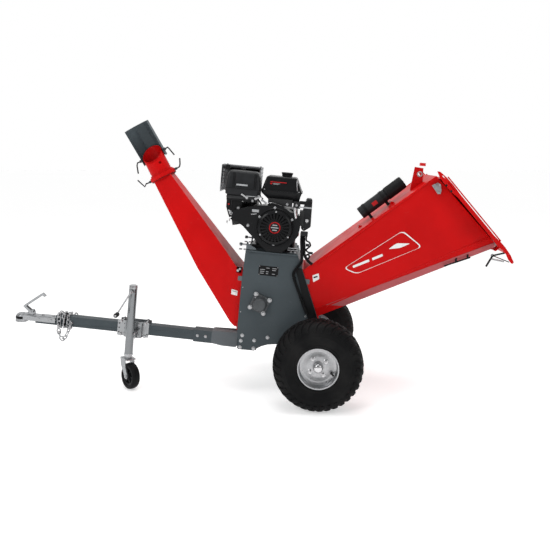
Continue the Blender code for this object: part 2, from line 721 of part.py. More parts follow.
def build_engine_core(level):
    x, z = CRANK
    base = DECK_TOP + GAP
    case = bevelled(box_mesh((-0.415, -0.088, base + 0.014), (-0.185, 0.150, 0.785)), 0.018, 2)
    foot = box_mesh((-0.432, -0.078, base), (-0.172, 0.140, base + 0.020))
    block = joined(case, foot)
    bore = rod_mesh((x, -0.2, z), (x, 0.3, z), CRANK_RADIUS + 0.0005, 20)
    sump = box_mesh((-0.402, -0.120, 0.574), (-0.198, 0.138, 0.772))
    add("engine_block", cut(block, bore, sump), ALLOY, level)

    tilt = Matrix.Translation((-0.490, 0.004, 0.738)) @ Matrix.Rotation(math.radians(-14), 4, "Y")
    head = box_mesh((-0.064, -0.070, -0.052), (0.064, 0.070, 0.052))
    fins = []
    for i in range(5):
        y = -0.064 + 0.032 * i
        fins.append(box_mesh((-0.080, y - 0.002, -0.060), (0.060, y + 0.002, 0.060)))
    plug = rod_mesh((-0.060, -0.030, 0.0), (-0.096, -0.030, -0.006), 0.009, 10)
    head = moved(joined(head, *fins, plug), tilt)
    clear = box_mesh((-0.4154, -1, 0), (1, 1, 2))
    add("cylinder_head", cut(head, clear), ALLOY, level)


def shroud_outline():
    left = [(-0.548, 0.720), (-0.479, 0.678), (-0.399, 0.603), (-0.363, 0.573), (-0.336, 0.5515)]
    right = [(-0.254, 0.5515), (-0.220, 0.581), (-0.171, 0.651), (-0.164, 0.698), (-0.177, 0.765)]
    top = arc((-0.302, 0.690), 0.118, 52, 96, 4) + [(-0.400, 0.800), (-0.458, 0.788), (-0.540, 0.760)]
    return left + right + top


def build_shroud(level):
    shroud = pan_mesh(shroud_outline(), -0.200, -0.092, 0.003)
    mouth = rod_mesh((CRANK[0], -0.3, CRANK[1]), (CRANK[0], -0.15, CRANK[1]), 0.084, 32)
    add("blower_shroud", cut(shroud, mouth), BLACK_PAINT, level)

    out = 0.0360
    profile = [(0, out), (0.030, out), (0.078, out - 0.003), (0.088, out - 0.010), (0.0945, 0.003),
               (0.0945, 0), (0.0915, 0), (0.0855, out - 0.013), (0.076, out - 0.006), (0, out - 0.003)]
    cover = turned_mesh(profile, 36)
    slots = []
    for i in range(12):
        turn = Matrix.Rotation(math.radians(30 * i), 4, "Z")
        slots.append(moved(box_mesh((0.046, -0.0035, 0.010), (0.070, 0.0035, 0.060)), turn))
    cover = along_y(cut(cover, *slots), (0, 0))
    place = (CRANK[0], -0.200 - GAP, CRANK[1])
    smooth(add("recoil_cover", cover, BLACK_PAINT, level, place))

    pull = Matrix.Rotation(math.radians(-14), 4, "Y")
    bar = bevelled(box_mesh((-0.0065, -0.010, -0.031), (0.0065, 0.010, 0.031)), 0.004, 2)
    stem = rod_mesh((-0.030, 0, 0), (0.0, 0, 0), 0.0028, 8)
    grip = moved(joined(bar, stem), pull)
    smooth(add("recoil_grip", grip, BRIGHT_STEEL, level, (-0.1985, -0.222, 0.781)))


def build_intake(level):
    outline = [(-0.596, 0.8465), (-0.598, 0.915), (-0.590, 0.950), (-0.572, 0.972), (-0.540, 0.979),
               (-0.500, 0.981), (-0.446, 0.979), (-0.418, 0.966), (-0.405, 0.938), (-0.404, 0.8465)]
    shell = plate_mesh(outline, -0.190, -0.046)
    shell = bevelled(shell, 0.008, 2, 60)
    pocket = [(x * 0.955 - 0.0225, 0.84 + (z - 0.84) * 0.965) for x, z in outline]
    pocket[0] = (pocket[0][0], 0.80)
    pocket[-1] = (pocket[-1][0], 0.80)
    shell = cut(shell, plate_mesh(pocket, -0.184, -0.052))
    nut = rod_mesh((-0.500, -0.118, 0.976), (-0.500, -0.118, 0.990), 0.010, 12)
    smooth(add("air_cleaner_cover", joined(shell, nut), BLACK_PLASTIC, level), 30)

    tray = bevelled(box_mesh((-0.588, -0.184, 0.822), (-0.412, -0.050, 0.8460)), 0.006, 1)
    throat = box_mesh((-0.505, -0.088, 0.8120), (-0.435, -0.052, 0.826))
    bowl = rod_mesh((-0.548, -0.100, 0.8), (-0.548, -0.100, 0.826), 0.016, 16)
    add("carburettor", joined(tray, throat, bowl), ALLOY, level)

    levers = (
        ("choke_lever", (-0.472, -0.1905, 0.836), 150),
        ("throttle_lever", (-0.422, -0.1905, 0.836), 20),
    )
    for name, at, angle in levers:
        arm = box_mesh((-0.006, -0.005, -0.004), (0.034, -0.001, 0.004))
        boss = rod_mesh((0, -0.010, 0), (0, 0.0060, 0), 0.007, 12)
        thumb = rod_mesh((0.032, -0.014, 0), (0.032, -0.002, 0), 0.005, 10)
        lever = joined(arm, boss, thumb)
        smooth(add(name, lever, BRIGHT_STEEL, level, at, (0, -math.radians(angle), 0)))


def build_exhaust(level):
    body = bevelled(box_mesh((-0.630, 0.050, 0.848), (-0.440, 0.162, 0.984)), 0.012, 2)
    inner = box_mesh((-0.622, 0.058, 0.856), (-0.448, 0.154, 0.976))
    outlet = rod_mesh((-0.535, 0.10, 0.930), (-0.535, 0.30, 0.930), 0.013, 16)
    pipe = rod_mesh((-0.480, 0.070, 0.810), (-0.480, 0.070, 0.860), 0.016, 16)
    smooth(add("muffler", joined(cut(body, inner, outlet), pipe), DARK_STEEL, level), 30)

    bm = bmesh.new()
    low, high = Vector((-0.656, 0.024, 0.842)), Vector((-0.422, 0.190, 1.003))
    place = Matrix.Translation((low + high) / 2) @ Matrix.Diagonal((*(high - low), 1))
    bmesh.ops.create_cube(bm, size=1.0, matrix=place)
    open_faces = [f for f in bm.faces if f.normal.z < -0.5 or f.normal.y < -0.5]
    bmesh.ops.delete(bm, geom=open_faces, context="FACES")
    mesh = bpy.data.meshes.new("guard")
    bm.to_mesh(mesh)
    bm.free()
    add("muffler_guard", thick(mesh, 0.0016), ZINC, level)


def build_tank(level):
    rings = []
    sections = (
        (0.825, -0.346, -0.186, -0.128, 0.090),
        (0.868, -0.396, -0.177, -0.146, 0.106),
        (0.884, -0.401, -0.172, -0.150, 0.110),
        (0.890, -0.398, -0.174, -0.148, 0.108),
        (0.966, -0.376, -0.207, -0.130, 0.092),
    )
    for z, left, right, near, far in sections:
        rings.append([(left, near, z), (right, near, z), (right, far, z), (left, far, z)])
    tank = bevelled(loft_mesh(rings), 0.010, 2, 50)
    middle = Vector((-0.288, -0.020, 0.895))
    inner = loft_mesh(rings)
    shrink = Matrix.Translation(middle) @ Matrix.Scale(0.94, 4) @ Matrix.Translation(-middle)
    inner = moved(inner, shrink)
    cap_at = (-0.2665, -0.030)
    neck = rod_mesh((*cap_at, 0.94), (*cap_at, 1.0), 0.019, 20)
    smooth(add("fuel_tank", cut(tank, inner, neck), BLACK_PAINT, level), 30)

    profile = [(0, 0.0255), (0.030, 0.0255), (0.0345, 0.022), (0.033, 0.010), (0.026, 0.0), (0, 0.0)]
    cap = turned_mesh(profile, 24)
    smooth(add("fuel_cap", cap, BLACK_PLASTIC, level, (*cap_at, 0.966 + GAP)))


def build_controls(level):
    outline = [(-0.141, 0.861), (-0.110, 0.859), (-0.106, 0.703), (-0.143, 0.676), (-0.1595, 0.690),
               (-0.1600, 0.775), (-0.154, 0.815)]
    box = bevelled(plate_mesh(outline, -0.160, -0.070), 0.005, 1)
    arm = box_mesh((-0.184 + GAP, -0.080, 0.700), (-0.150, -0.072, 0.740))
    add("control_box", joined(box, arm), BLACK_PLASTIC, level)

    key_at = (-0.130, -0.160 - GAP, 0.738)
    barrel = rod_mesh((0, -0.006, 0), (0, 0, 0), 0.009, 16)
    blade = box_mesh((-0.0016, -0.026, -0.010), (0.0016, -0.004, 0.010))
    smooth(add("ignition_key", joined(barrel, blade), BRIGHT_STEEL, level, key_at))

    cap = turned_mesh([(0, 0.016), (0.007, 0.016), (0.0105, 0.012), (0.0105, 0), (0, 0)], 16)
    cap = moved(cap, Matrix.Rotation(math.radians(90), 4, "Y"))
    stick = rod_mesh((-0.001, 0, 0), (0.004, 0, 0), 0.006, 10)
    place = (-0.1830, -0.074, 0.648)
    smooth(add("oil_dipstick", joined(cap, stick), RED_PLASTIC, level, place))


def build_wiring(level):
    route = [(-0.1500, -0.120, 0.6700), (-0.1480, -0.140, 0.6300), (-0.1420, -0.166, 0.5850),
             (-0.1360, -0.1815, 0.5300), (-0.1450, -0.1825, 0.4920), (-0.1680, -0.1825, 0.4560),
             (-0.1740, -0.1825, 0.4200), (-0.1590, -0.1825, 0.3750), (-0.1350, -0.1825, 0.3200),
             (-0.1080, -0.1825, 0.2600), (-0.0900, -0.1825, 0.2240)]
    smooth(add("wiring_conduit", tube_mesh(route, 0.0105, 2, 4), BLACK_PLASTIC, level), 60)


# ---------------------------------------------------------------- hopper, tray and canister


def hopper_half(x):
    """Half-width of the hopper's upright side plates."""
    return 0.1650 + 0.034 * max(x, 0.0)


def hopper_ring(top, corner, chin, floor_half, top_half):
    """One hexagonal section: top edge, lower side corner and bottom edge, as (x, z)."""
    half = hopper_half(corner[0])
    return [(top[0], -top_half, top[1]), (corner[0], -half, corner[1]), (chin[0], -floor_half, chin[1]),
            (chin[0], floor_half, chin[1]), (corner[0], half, corner[1]), (top[0], top_half, top[1])]


def build_hopper(level):
    throat_top = (rear_x(0.458) + 0.001, 0.458)
    throat_corner = (rear_x(0.250) + 0.001, 0.250)
    throat_chin = (rear_x(0.204) + 0.001, 0.204)
    throat = hopper_ring(throat_top, throat_corner, throat_chin, 0.150, 0.160)
    mouth_top, mouth_corner, mouth_chin = (0.545, 1.0525), (0.889, 0.724), (0.902, 0.690)
    mouth = hopper_ring(mouth_top, mouth_corner, mouth_chin, 0.160, 0.178)
    bm = bmesh.new()
    rings = [[bm.verts.new(p) for p in ring] for ring in (throat, mouth)]
    for i in range(6):
        j = (i + 1) % 6
        bm.faces.new((rings[0][i], rings[0][j], rings[1][j], rings[1][i]))
    bmesh.ops.recalc_face_normals(bm, faces=bm.faces)
    sheet = bpy.data.meshes.new("hopper")
    bm.to_mesh(sheet)
    bm.free()
    shell = thick(sheet, HOPPER_THICK)

    lip_z = (0.196, 0.466)
    lip = [(rear_x(lip_z[0]) + 0.0004, lip_z[0]), (rear_x(lip_z[0]) + 0.0060, lip_z[0]),
           (rear_x(lip_z[1]) + 0.0060, lip_z[1]), (rear_x(lip_z[1]) + 0.0004, lip_z[1])]
    flange = plate_mesh(lip, -0.1640, 0.1640)
    window = box_mesh((-0.30, -0.1465, 0.210), (0.10, 0.1465, 0.4515))
    flange = cut(flange, window)

    ear = plate_mesh([(0.432, 0.955), (0.446, 1.091), (0.494, 1.088), (0.500, 0.995)], -0.062, -0.056)
    hole = rod_mesh((0.477, -0.1, 1.053), (0.477, 0.0, 1.053), 0.009, 14)
    ear = cut(ear, hole)
    rails = []
    for along in (0.165, 0.330):
        z = 0.498 + (along + 0.056) * 0.9225
        rails.append(box_mesh((along, -0.075, z - 0.006), (along + 0.020, 0.005, z + 0.031)))
    knuckles = []
    for y in (-0.130, 0.120):
        start = (TRAY_HINGE[0], y, TRAY_HINGE[1])
        knuckles.append(rod_mesh(start, (TRAY_HINGE[0], y + 0.010, TRAY_HINGE[1]), 0.0085, 12))
        knuckles.append(box_mesh((0.8900, y, 0.676), (0.912, y + 0.010, 0.692)))
    start = (TRAY_HINGE[0], -0.165, TRAY_HINGE[1])
    pin = rod_mesh(start, (TRAY_HINGE[0], 0.165, TRAY_HINGE[1]), 0.0045, 10)
    add("hopper_shell", joined(shell, flange, ear, *rails, *knuckles, pin), RED_PAINT, level)


def tray_frame(level):
    """An empty on the tray's hinge: +Z up the folded tray, +X outwards."""
    return empty("tray_hinge", level, (TRAY_HINGE[0], 0, TRAY_HINGE[1]), (0, math.radians(-45), 0))


def build_tray(level):
    frame = tray_frame(level)
    sheet = 0.003
    cheek = [(0.0060, TRAY_TOP), (0.0165, 0.545), (0.0235, 0.500), (0.0250, 0.440), (0.0220, 0.388),
             (0.0220, 0.104), (0.0270, 0.060), (0.0280, 0.020), (0.0235, -0.030), (0.0130, TRAY_FOOT + 0.004),
             (0.0040, TRAY_FOOT), (-0.0020, TRAY_FOOT + 0.006), (-0.0010, -0.040), (0.0070, -0.012),
             (0.0070, 0.012), (0.0020, 0.040),
             (0.0020, 0.380), (-0.0060, 0.420), (-0.0085, 0.450), (-0.0060, 0.520)]
    pieces = []
    for side in (-1, 1):
        pieces.append(plate_mesh(cheek, side * TRAY_HALF, side * (TRAY_HALF - sheet)))
    panel = box_mesh((0.0185, -TRAY_HALF + 0.001, -0.030), (0.0215, TRAY_HALF - 0.001, 0.500))
    top_rail = box_mesh((0.0080, -TRAY_HALF + 0.001, 0.494), (0.0215, TRAY_HALF - 0.001, 0.500))
    slots = []
    for low, high in ((0.420, 0.478), (0.500, 0.522)):
        slots.append(box_mesh((0.0100, -1, low), (0.0150, 1, high)))
    knuckles = []
    for y in (-0.1500, 0.1325):
        sleeve = rod_mesh((0, y, 0), (0, y + 0.0175, 0), 0.0085, 12)
        leaf = box_mesh((0.0, y, -0.0085), (0.0195, y + 0.0175, 0.0085))
        knuckles.append(joined(sleeve, leaf))
    tray = joined(panel, top_rail, *knuckles, *pieces)
    bore = rod_mesh((0, -0.2, 0), (0, 0.2, 0), 0.0051, 12)
    tray = cut(tray, bore, *slots)
    add("feed_tray", tray, RED_PAINT, frame)

    pivot_at = (0.566, -0.1905, 0.9655)
    latch = [(-0.042, 0.034), (-0.012, 0.052), (0.004, 0.044), (0.012, 0.014), (0.010, -0.008),
             (-0.006, -0.010), (-0.024, 0.012)]
    plate = plate_mesh(latch, -0.004, 0.0)
    stud = rod_mesh((0, -0.009, 0), (0, 0.0030, 0), 0.006, 6)
    hook = rod_mesh((-0.014, -0.070, 0.042), (-0.014, -0.002, 0.042), 0.005, 10)
    smooth(add("tray_latch", joined(plate, stud, hook), ZINC, level, pivot_at), 30)


def build_canister(level):
    """A document tube with a screw cap, lying along the hopper's top plate."""
    slope = math.atan(0.9225)
    foot = Vector((0.171, -0.035, 0.796))
    frame = empty("canister_axis", level, foot, (0, math.radians(90) - slope, 0))
    body = bevelled(rod_mesh((0, 0, 0), (0, 0, 0.182), 0.0355, 24), 0.004, 1)
    smooth(add("manual_canister", body, BLACK_PLASTIC, frame))
    cap = bevelled(rod_mesh((0, 0, 0.1823), (0, 0, 0.302), 0.0375, 24), 0.004, 1)
    smooth(add("canister_cap", cap, BLACK_PLASTIC, frame))


# ---------------------------------------------------------------- chute and spout


def spout_point(across, along):
    """A machine XZ point from spout coordinates: across the tube and along its axis."""
    x = SPOUT_FOOT[0] + across * math.cos(SPOUT_LEAN) - along * math.sin(SPOUT_LEAN)
    z = SPOUT_FOOT[1] + across * math.sin(SPOUT_LEAN) + along * math.cos(SPOUT_LEAN)
    return (x, z)


def duct_ring(lower, upper, half):
    return [(lower[0], -half, lower[1]), (upper[0], -half, upper[1]),
            (upper[0], half, upper[1]), (lower[0], half, lower[1])]


def build_chute(level):
    port = HOUSING_LEFT - 0.0004
    rings = [
        duct_ring((port, 0.090), (port, 0.410), 0.134),
        duct_ring((port - 0.022, 0.094), (port - 0.022, 0.418), 0.134),
        duct_ring((-0.512, 0.116), (-0.505, 0.438), 0.131),
        duct_ring((-0.729, 0.402), (-0.578, 0.522), 0.106),
        duct_ring(spout_point(-0.054, -0.012), spout_point(0.054, -0.012), 0.054),
    ]
    bm = bmesh.new()
    made = [[bm.verts.new(p) for p in ring] for ring in rings]
    for first, second in zip(made, made[1:]):
        for i in range(4):
            j = (i + 1) % 4
            bm.faces.new((first[i], first[j], second[j], second[i]))
    bmesh.ops.recalc_face_normals(bm, faces=bm.faces)
    sheet = bpy.data.meshes.new("duct")
    bm.to_mesh(sheet)
    bm.free()
    duct = thick(sheet, SHEET)

    frame_outer = box_mesh((port - 0.006, -0.150, 0.078), (port, 0.150, 0.424))
    frame_inner = box_mesh((port - 0.02, -0.1315, 0.0925), (port + 0.02, 0.1315, 0.4075))
    flange = cut(frame_outer, frame_inner)

    base = -0.014
    profile = [(0.0660, 0.012), (COLLAR_RADIUS, 0.012), (COLLAR_RADIUS, base), (0.0510, base),
               (0.0510, base + 0.005), (0.0660, base + 0.005)]
    collar = turned_mesh(profile, 32, cyclic=True)
    place = Matrix.Translation((SPOUT_FOOT[0], 0, SPOUT_FOOT[1])) @ Matrix.Rotation(-SPOUT_LEAN, 4, "Y")
    collar = moved(collar, place)
    latch = box_mesh((-0.4995, -0.148, 0.405), (port, -0.128, 0.440))
    smooth(add("chute_duct", joined(duct, flange, collar, latch), RED_PAINT, level), 30)


def build_spout(level):
    turn = (0, -SPOUT_LEAN, 0)
    foot = (SPOUT_FOOT[0], 0, SPOUT_FOOT[1])
    frame = empty("spout_axis", level, foot, turn)

    low, high = 0.086, 0.190
    inner = TUBE_RADIUS - TUBE_WALL
    profile = [(inner, 0.260), (TUBE_RADIUS, 0.260), (TUBE_RADIUS, 0.006), (0.0652, 0.003),
               (0.0652, -0.0085), (inner, -0.0085)]
    tube = turned_mesh(profile, 32, cyclic=True)
    rise = (high - low) * 0.46
    wedge = plate_yz([(-0.12, low - rise), (0.12, high + rise), (0.12, 0.4), (-0.12, 0.4)])
    hole = rod_mesh((0.030, -0.10, 0.070), (0.030, 0.0, 0.070), 0.008, 14)
    band = [(inner, 0.0205), (0.0700, 0.0205), (0.0700, 0.0130), (inner, 0.0130)]
    bead = turned_mesh(band, 32, cyclic=True)
    tube = cut(joined(tube, bead), wedge, hole)
    smooth(add("chute_spout", tube, RED_PAINT, frame), 30)

    pivot_frame = empty("deflector_axis", frame, (0, 0, SPOUT_PIVOT), (math.radians(12), 0, 0))
    half, depth, wall = 0.0725, 0.0900, 0.0022
    top, bottom = 0.192, -0.034
    path = [(-half, -0.014), (-half, 0.036), (-0.030, depth), (0.030, depth), (half, 0.036), (half, -0.014)]
    bm = bmesh.new()
    lower = [bm.verts.new((x, y, bottom)) for x, y in path]
    upper = [bm.verts.new((x, y, top)) for x, y in path]
    for i in range(len(path) - 1):
        bm.faces.new((lower[i], lower[i + 1], upper[i + 1], upper[i]))
    sheet = bpy.data.meshes.new("deflector")
    bm.to_mesh(sheet)
    bm.free()
    channel = thick(sheet, wall, offset=1.0)
    add("spout_deflector", channel, STEEL_GREY, pivot_frame)

    for side, word in ((-1, "left"), (1, "right")):
        start = side * 0.0735
        bolt = tube_mesh([(start, 0, 0), (side * 0.090, 0, 0), (side * 0.101, -0.004, 0.002),
                          (side * 0.108, -0.020, -0.010), (side * 0.120, -0.040, -0.052)], 0.0042, 2)
        head = rod_mesh((start, 0, 0), (side * 0.086, 0, 0), 0.0085, 12)
        smooth(add("deflector_bolt_" + word, joined(bolt, head), DARK_STEEL, pivot_frame))
        start = side * (COLLAR_RADIUS + GAP)
        bolt = tube_mesh([(start, 0, 0), (side * 0.106, 0, 0), (side * 0.112, -0.004, 0.002),
                          (side * 0.124, -0.020, 0.012 * side), (side * 0.140, -0.034, 0.040)], 0.0042, 2)
        head = rod_mesh((start, 0, 0), (side * 0.092, 0, 0), 0.0075, 12)
        smooth(add("collar_bolt_" + word, joined(bolt, head), DARK_STEEL, frame))


def plate_yz(outline):
    """A long prism across X from a (y, z) outline."""
    mesh = plate_mesh(outline, -0.3, 0.3)
    return moved(mesh, Matrix.Rotation(math.radians(90), 4, "Z"))


# ---------------------------------------------------------------- assembly

clear_scene()
PARTS = new_collection("wood_chipper")
CUTTERS = new_collection("cutters")

RED_PAINT = finish("red_paint", (0.50, 0.008, 0.010), 0.35)
STEEL_GREY = finish("grey_paint", (0.070, 0.085, 0.092), 0.45)
BLACK_PAINT = finish("black_paint", (0.022, 0.022, 0.024), 0.40)
BLACK_PLASTIC = finish("black_plastic", (0.030, 0.032, 0.034), 0.50)
RED_PLASTIC = finish("red_plastic", (0.55, 0.02, 0.02), 0.40)
ZINC = finish("zinc", (0.52, 0.53, 0.54), 0.35, 0.9)
BRIGHT_STEEL = finish("bright_steel", (0.60, 0.60, 0.61), 0.28, 1.0)
DARK_STEEL = finish("dark_steel", (0.10, 0.11, 0.115), 0.45, 0.7)
CAST = finish("cast_iron", (0.085, 0.090, 0.095), 0.55, 0.6)
ALLOY = finish("cast_alloy", (0.10, 0.10, 0.105), 0.50, 0.5)
RUBBER = finish("tyre_rubber", (0.018, 0.018, 0.019), 0.75)
HARD_RUBBER = finish("jockey_rubber", (0.020, 0.020, 0.021), 0.60)

GROUND = empty("axle_line", None, (AXLE_X, 0, WHEEL_RADIUS))
LEVEL = empty("machine_level", None, (AXLE_X, 0, WHEEL_RADIUS), (0, NOSE_UP, 0))

build_chassis(LEVEL)
build_drawbar(LEVEL)
build_coupler(LEVEL)
build_chain(LEVEL)
build_wheels(GROUND)
build_jack(LEVEL)
build_side_plates(LEVEL)
build_wraps(LEVEL)
build_rotor(LEVEL)
build_drive(LEVEL)
build_belt_guard(LEVEL)
build_engine_core(LEVEL)
build_shroud(LEVEL)
build_intake(LEVEL)
build_exhaust(LEVEL)
build_tank(LEVEL)
build_controls(LEVEL)
build_wiring(LEVEL)
build_hopper(LEVEL)
build_tray(LEVEL)
build_canister(LEVEL)
build_chute(LEVEL)
build_spout(LEVEL)
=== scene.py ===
"""Looks for a towed petrol wood chipper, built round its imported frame.

Every sub-assembly is a class with its sizes as fields. Shapes are drawn in the machine's own level
frame (origin on the wheel axle, +X towards the feed hopper) and are then tipped nose-up with it.
"""

import json
import logging
import math
from collections.abc import Callable, Iterable, Sequence
from dataclasses import dataclass, field
from enum import Enum

import bmesh
import bpy
from mathutils import Matrix, Vector

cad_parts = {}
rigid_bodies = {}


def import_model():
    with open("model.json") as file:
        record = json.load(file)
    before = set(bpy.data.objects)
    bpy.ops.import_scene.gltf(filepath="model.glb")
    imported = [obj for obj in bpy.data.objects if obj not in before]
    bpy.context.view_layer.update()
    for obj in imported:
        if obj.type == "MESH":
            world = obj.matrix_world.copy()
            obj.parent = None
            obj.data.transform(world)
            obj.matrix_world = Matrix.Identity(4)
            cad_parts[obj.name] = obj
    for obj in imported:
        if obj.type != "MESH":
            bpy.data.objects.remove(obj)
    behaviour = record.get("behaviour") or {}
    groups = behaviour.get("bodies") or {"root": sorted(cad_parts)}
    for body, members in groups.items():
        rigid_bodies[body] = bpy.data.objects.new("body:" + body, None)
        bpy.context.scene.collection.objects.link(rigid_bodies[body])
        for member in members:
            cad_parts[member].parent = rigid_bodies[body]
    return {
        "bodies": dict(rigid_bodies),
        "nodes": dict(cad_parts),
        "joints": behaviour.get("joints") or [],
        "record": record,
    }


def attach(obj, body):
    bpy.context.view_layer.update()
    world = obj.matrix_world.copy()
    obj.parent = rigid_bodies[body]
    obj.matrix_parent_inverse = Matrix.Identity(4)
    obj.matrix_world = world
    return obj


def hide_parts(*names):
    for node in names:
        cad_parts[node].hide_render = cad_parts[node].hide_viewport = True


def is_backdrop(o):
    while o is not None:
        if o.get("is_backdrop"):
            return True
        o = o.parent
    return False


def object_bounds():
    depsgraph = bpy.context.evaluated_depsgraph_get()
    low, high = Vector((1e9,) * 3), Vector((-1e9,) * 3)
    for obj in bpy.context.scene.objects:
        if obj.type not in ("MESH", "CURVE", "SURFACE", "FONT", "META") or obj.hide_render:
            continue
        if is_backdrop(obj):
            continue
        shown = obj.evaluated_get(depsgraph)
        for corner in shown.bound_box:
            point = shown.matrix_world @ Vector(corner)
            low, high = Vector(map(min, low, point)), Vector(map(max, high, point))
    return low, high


LOG = logging.getLogger("wood_chipper")

Point = tuple[float, float, float]
Spot = tuple[float, float]
Colour = tuple[float, float, float]
Socket = bpy.types.NodeSocket


class Side(Enum):
    """The two sides of the machine, by the sign of Y."""

    NEAR = -1
    FAR = 1

    @property
    def word(self) -> str:
        """The side's name as it ends a piece's name."""
        return self.name.lower()


# ------------------------------------------------------------------ finishes


class Bench:
    """A material's node tree, with short ways to add and wire its nodes."""

    def __init__(self, name: str) -> None:
        """Starts a material with one Principled shader.

        Args:
            name: the material's name.
        """
        self.material = bpy.data.materials.new(name)
        self.material.use_nodes = True
        self.tree = self.material.node_tree
        self.shader = self.tree.nodes["Principled BSDF"]
        self.place = self.tree.nodes.new("ShaderNodeTexCoord").outputs["Object"]

    def node(self, kind: str, **values: object) -> bpy.types.Node:
        """Adds a node and sets its attributes.

        Args:
            kind: the node's type name.
            values: attributes to set on it.

        Returns:
            The node.
        """
        made = self.tree.nodes.new(kind)
        for name, value in values.items():
            setattr(made, name, value)
        return made

    def wire(self, source: Socket | float | Sequence[float], target: Socket) -> None:
        """Links a socket, or sets a plain value, on a target socket.

        Args:
            source: a socket to link, or a plain value.
            target: the socket that takes it.
        """
        if isinstance(source, bpy.types.NodeSocket):
            self.tree.links.new(source, target)
        else:
            target.default_value = source

    def stretched(self, scale: Point) -> Socket:
        """Object coordinates stretched by a factor along each axis.

        Args:
            scale: the factor along X, Y and Z.

        Returns:
            The stretched coordinates.
        """
        made = self.node("ShaderNodeMapping")
        self.wire(self.place, made.inputs["Vector"])
        made.inputs["Scale"].default_value = scale
        return made.outputs["Vector"]

    def noise(self, scale: float, detail: float = 3.0, place: Socket | None = None) -> Socket:
        """A fractal noise value.

        Args:
            scale: features per metre, roughly.
            detail: octaves.
            place: coordinates, or the object's own when left out.

        Returns:
            The noise factor, about 0.5 on average.
        """
        made = self.node("ShaderNodeTexNoise")
        self.wire(place or self.place, made.inputs["Vector"])
        made.inputs["Scale"].default_value = scale
        made.inputs["Detail"].default_value = detail
        return made.outputs["Fac"]

    def cells(self, scale: float, output: str = "Color") -> Socket:
        """A Voronoi pattern's colour or distance.

        Args:
            scale: how many cells to a unit.
            output: which of the pattern's outputs to give.

        Returns:
            The chosen output.
        """
        made = self.node("ShaderNodeTexVoronoi")
        self.wire(self.place, made.inputs["Vector"])
        made.inputs["Scale"].default_value = scale
        return made.outputs[output]

    def fitted(self, value: Socket, low: float, high: float, to_low: float, to_high: float) -> Socket:
        """A value mapped from one range to another and clamped.

        Args:
            value: the value to map.
            low: where the first range starts.
            high: where it ends.
            to_low: where the second range starts.
            to_high: where it ends.

        Returns:
            The mapped value.
        """
        made = self.node("ShaderNodeMapRange")
        self.wire(value, made.inputs["Value"])
        for name, number in (("From Min", low), ("From Max", high), ("To Min", to_low), ("To Max", to_high)):
            made.inputs[name].default_value = number
        return made.outputs["Result"]

    def blend(self, factor: Socket, first: Socket | Colour, second: Socket | Colour) -> Socket:
        """A colour mixed from two by a factor.

        Args:
            factor: 0 for the first colour, 1 for the second.
            first: a colour or a socket.
            second: a colour or a socket.

        Returns:
            The mixed colour.
        """
        made = self.node("ShaderNodeMix", data_type="RGBA")
        self.wire(factor, made.inputs["Factor"])
        for colour, target in ((first, made.inputs["A"]), (second, made.inputs["B"])):
            if isinstance(colour, tuple):
                colour = (*colour, 1.0)
            self.wire(colour, target)
        return made.outputs["Result"]

    def added(self, first: Socket, second: Socket | float, operation: str = "ADD") -> Socket:
        """Two values put together by a Math node.

        Args:
            first: a value.
            second: another value, or a number.
            operation: the Math node's operation.

        Returns:
            The result.
        """
        made = self.node("ShaderNodeMath", operation=operation)
        self.wire(first, made.inputs[0])
        self.wire(second, made.inputs[1])
        return made.outputs[0]

    def bump(self, height: Socket, distance: float, strength: float = 1.0) -> None:
        """Raises the surface by a height value, after any bump already wired.

        Args:
            height: the height value.
            distance: how high a value of 1 stands, in metres.
            strength: how strongly it shows.
        """
        made = self.node("ShaderNodeBump")
        made.inputs["Distance"].default_value = distance
        made.inputs["Strength"].default_value = strength
        self.wire(height, made.inputs["Height"])
        normal = self.shader.inputs["Normal"]
        if normal.is_linked:
            self.wire(normal.links[0].from_socket, made.inputs["Normal"])
        self.wire(made.outputs["Normal"], normal)


def shade(colour: Colour, factor: float) -> Colour:
    """A colour made darker or lighter by a factor."""
    return tuple(min(1.0, channel * factor) for channel in colour)


@dataclass(frozen=True)
class Finish:
    """A surface finish that belongs to one of the record's material slots."""

    name: str
    slot: str
    colour: Colour
    roughness: float = 0.4

    def dress(self, bench: Bench) -> None:
        """Wires the finish into a bench."""
        raise NotImplementedError

    def material(self) -> bpy.types.Material:
        """The finish's material, made the first time it is asked for.

        Returns:
            The material.
        """
        known = bpy.data.materials.get(self.name)
        if known:
            return known
        bench = Bench(self.name)
        self.dress(bench)
        return bench.material


@dataclass(frozen=True)
class Enamel(Finish):
    """Sprayed enamel: slight orange peel, soft mottling, faint scuffs and a clear coat."""

    coat: float = 0.35
    peel: float = 0.00012

    def dress(self, bench: Bench) -> None:
        """Wires mottled colour, uneven gloss, scuffs and orange peel.

        Args:
            bench: the bench it is wired into.
        """
        shader = bench.shader
        mottle = bench.fitted(bench.noise(5.0, 4.0), 0.3, 0.7, 0.0, 1.0)
        body = bench.blend(mottle, shade(self.colour, 0.9), shade(self.colour, 1.07))
        scuff = bench.fitted(bench.noise(38.0, 6.0, bench.stretched((1.0, 1.0, 2.2))), 0.66, 0.78, 0.0, 0.3)
        faded = tuple(channel * 0.75 + 0.06 for channel in self.colour)
        bench.wire(bench.blend(scuff, body, faded), shader.inputs["Base Color"])
        gloss = bench.fitted(bench.noise(14.0, 5.0), 0.3, 0.7, self.roughness - 0.06, self.roughness + 0.07)
        bench.wire(bench.added(gloss, bench.added(scuff, 0.6, "MULTIPLY")), shader.inputs["Roughness"])
        shader.inputs["Specular IOR Level"].default_value = 0.04
        shader.inputs["Coat Weight"].default_value = self.coat
        shader.inputs["Coat Roughness"].default_value = 0.12
        bench.bump(bench.noise(420.0, 2.0), self.peel, 0.5)


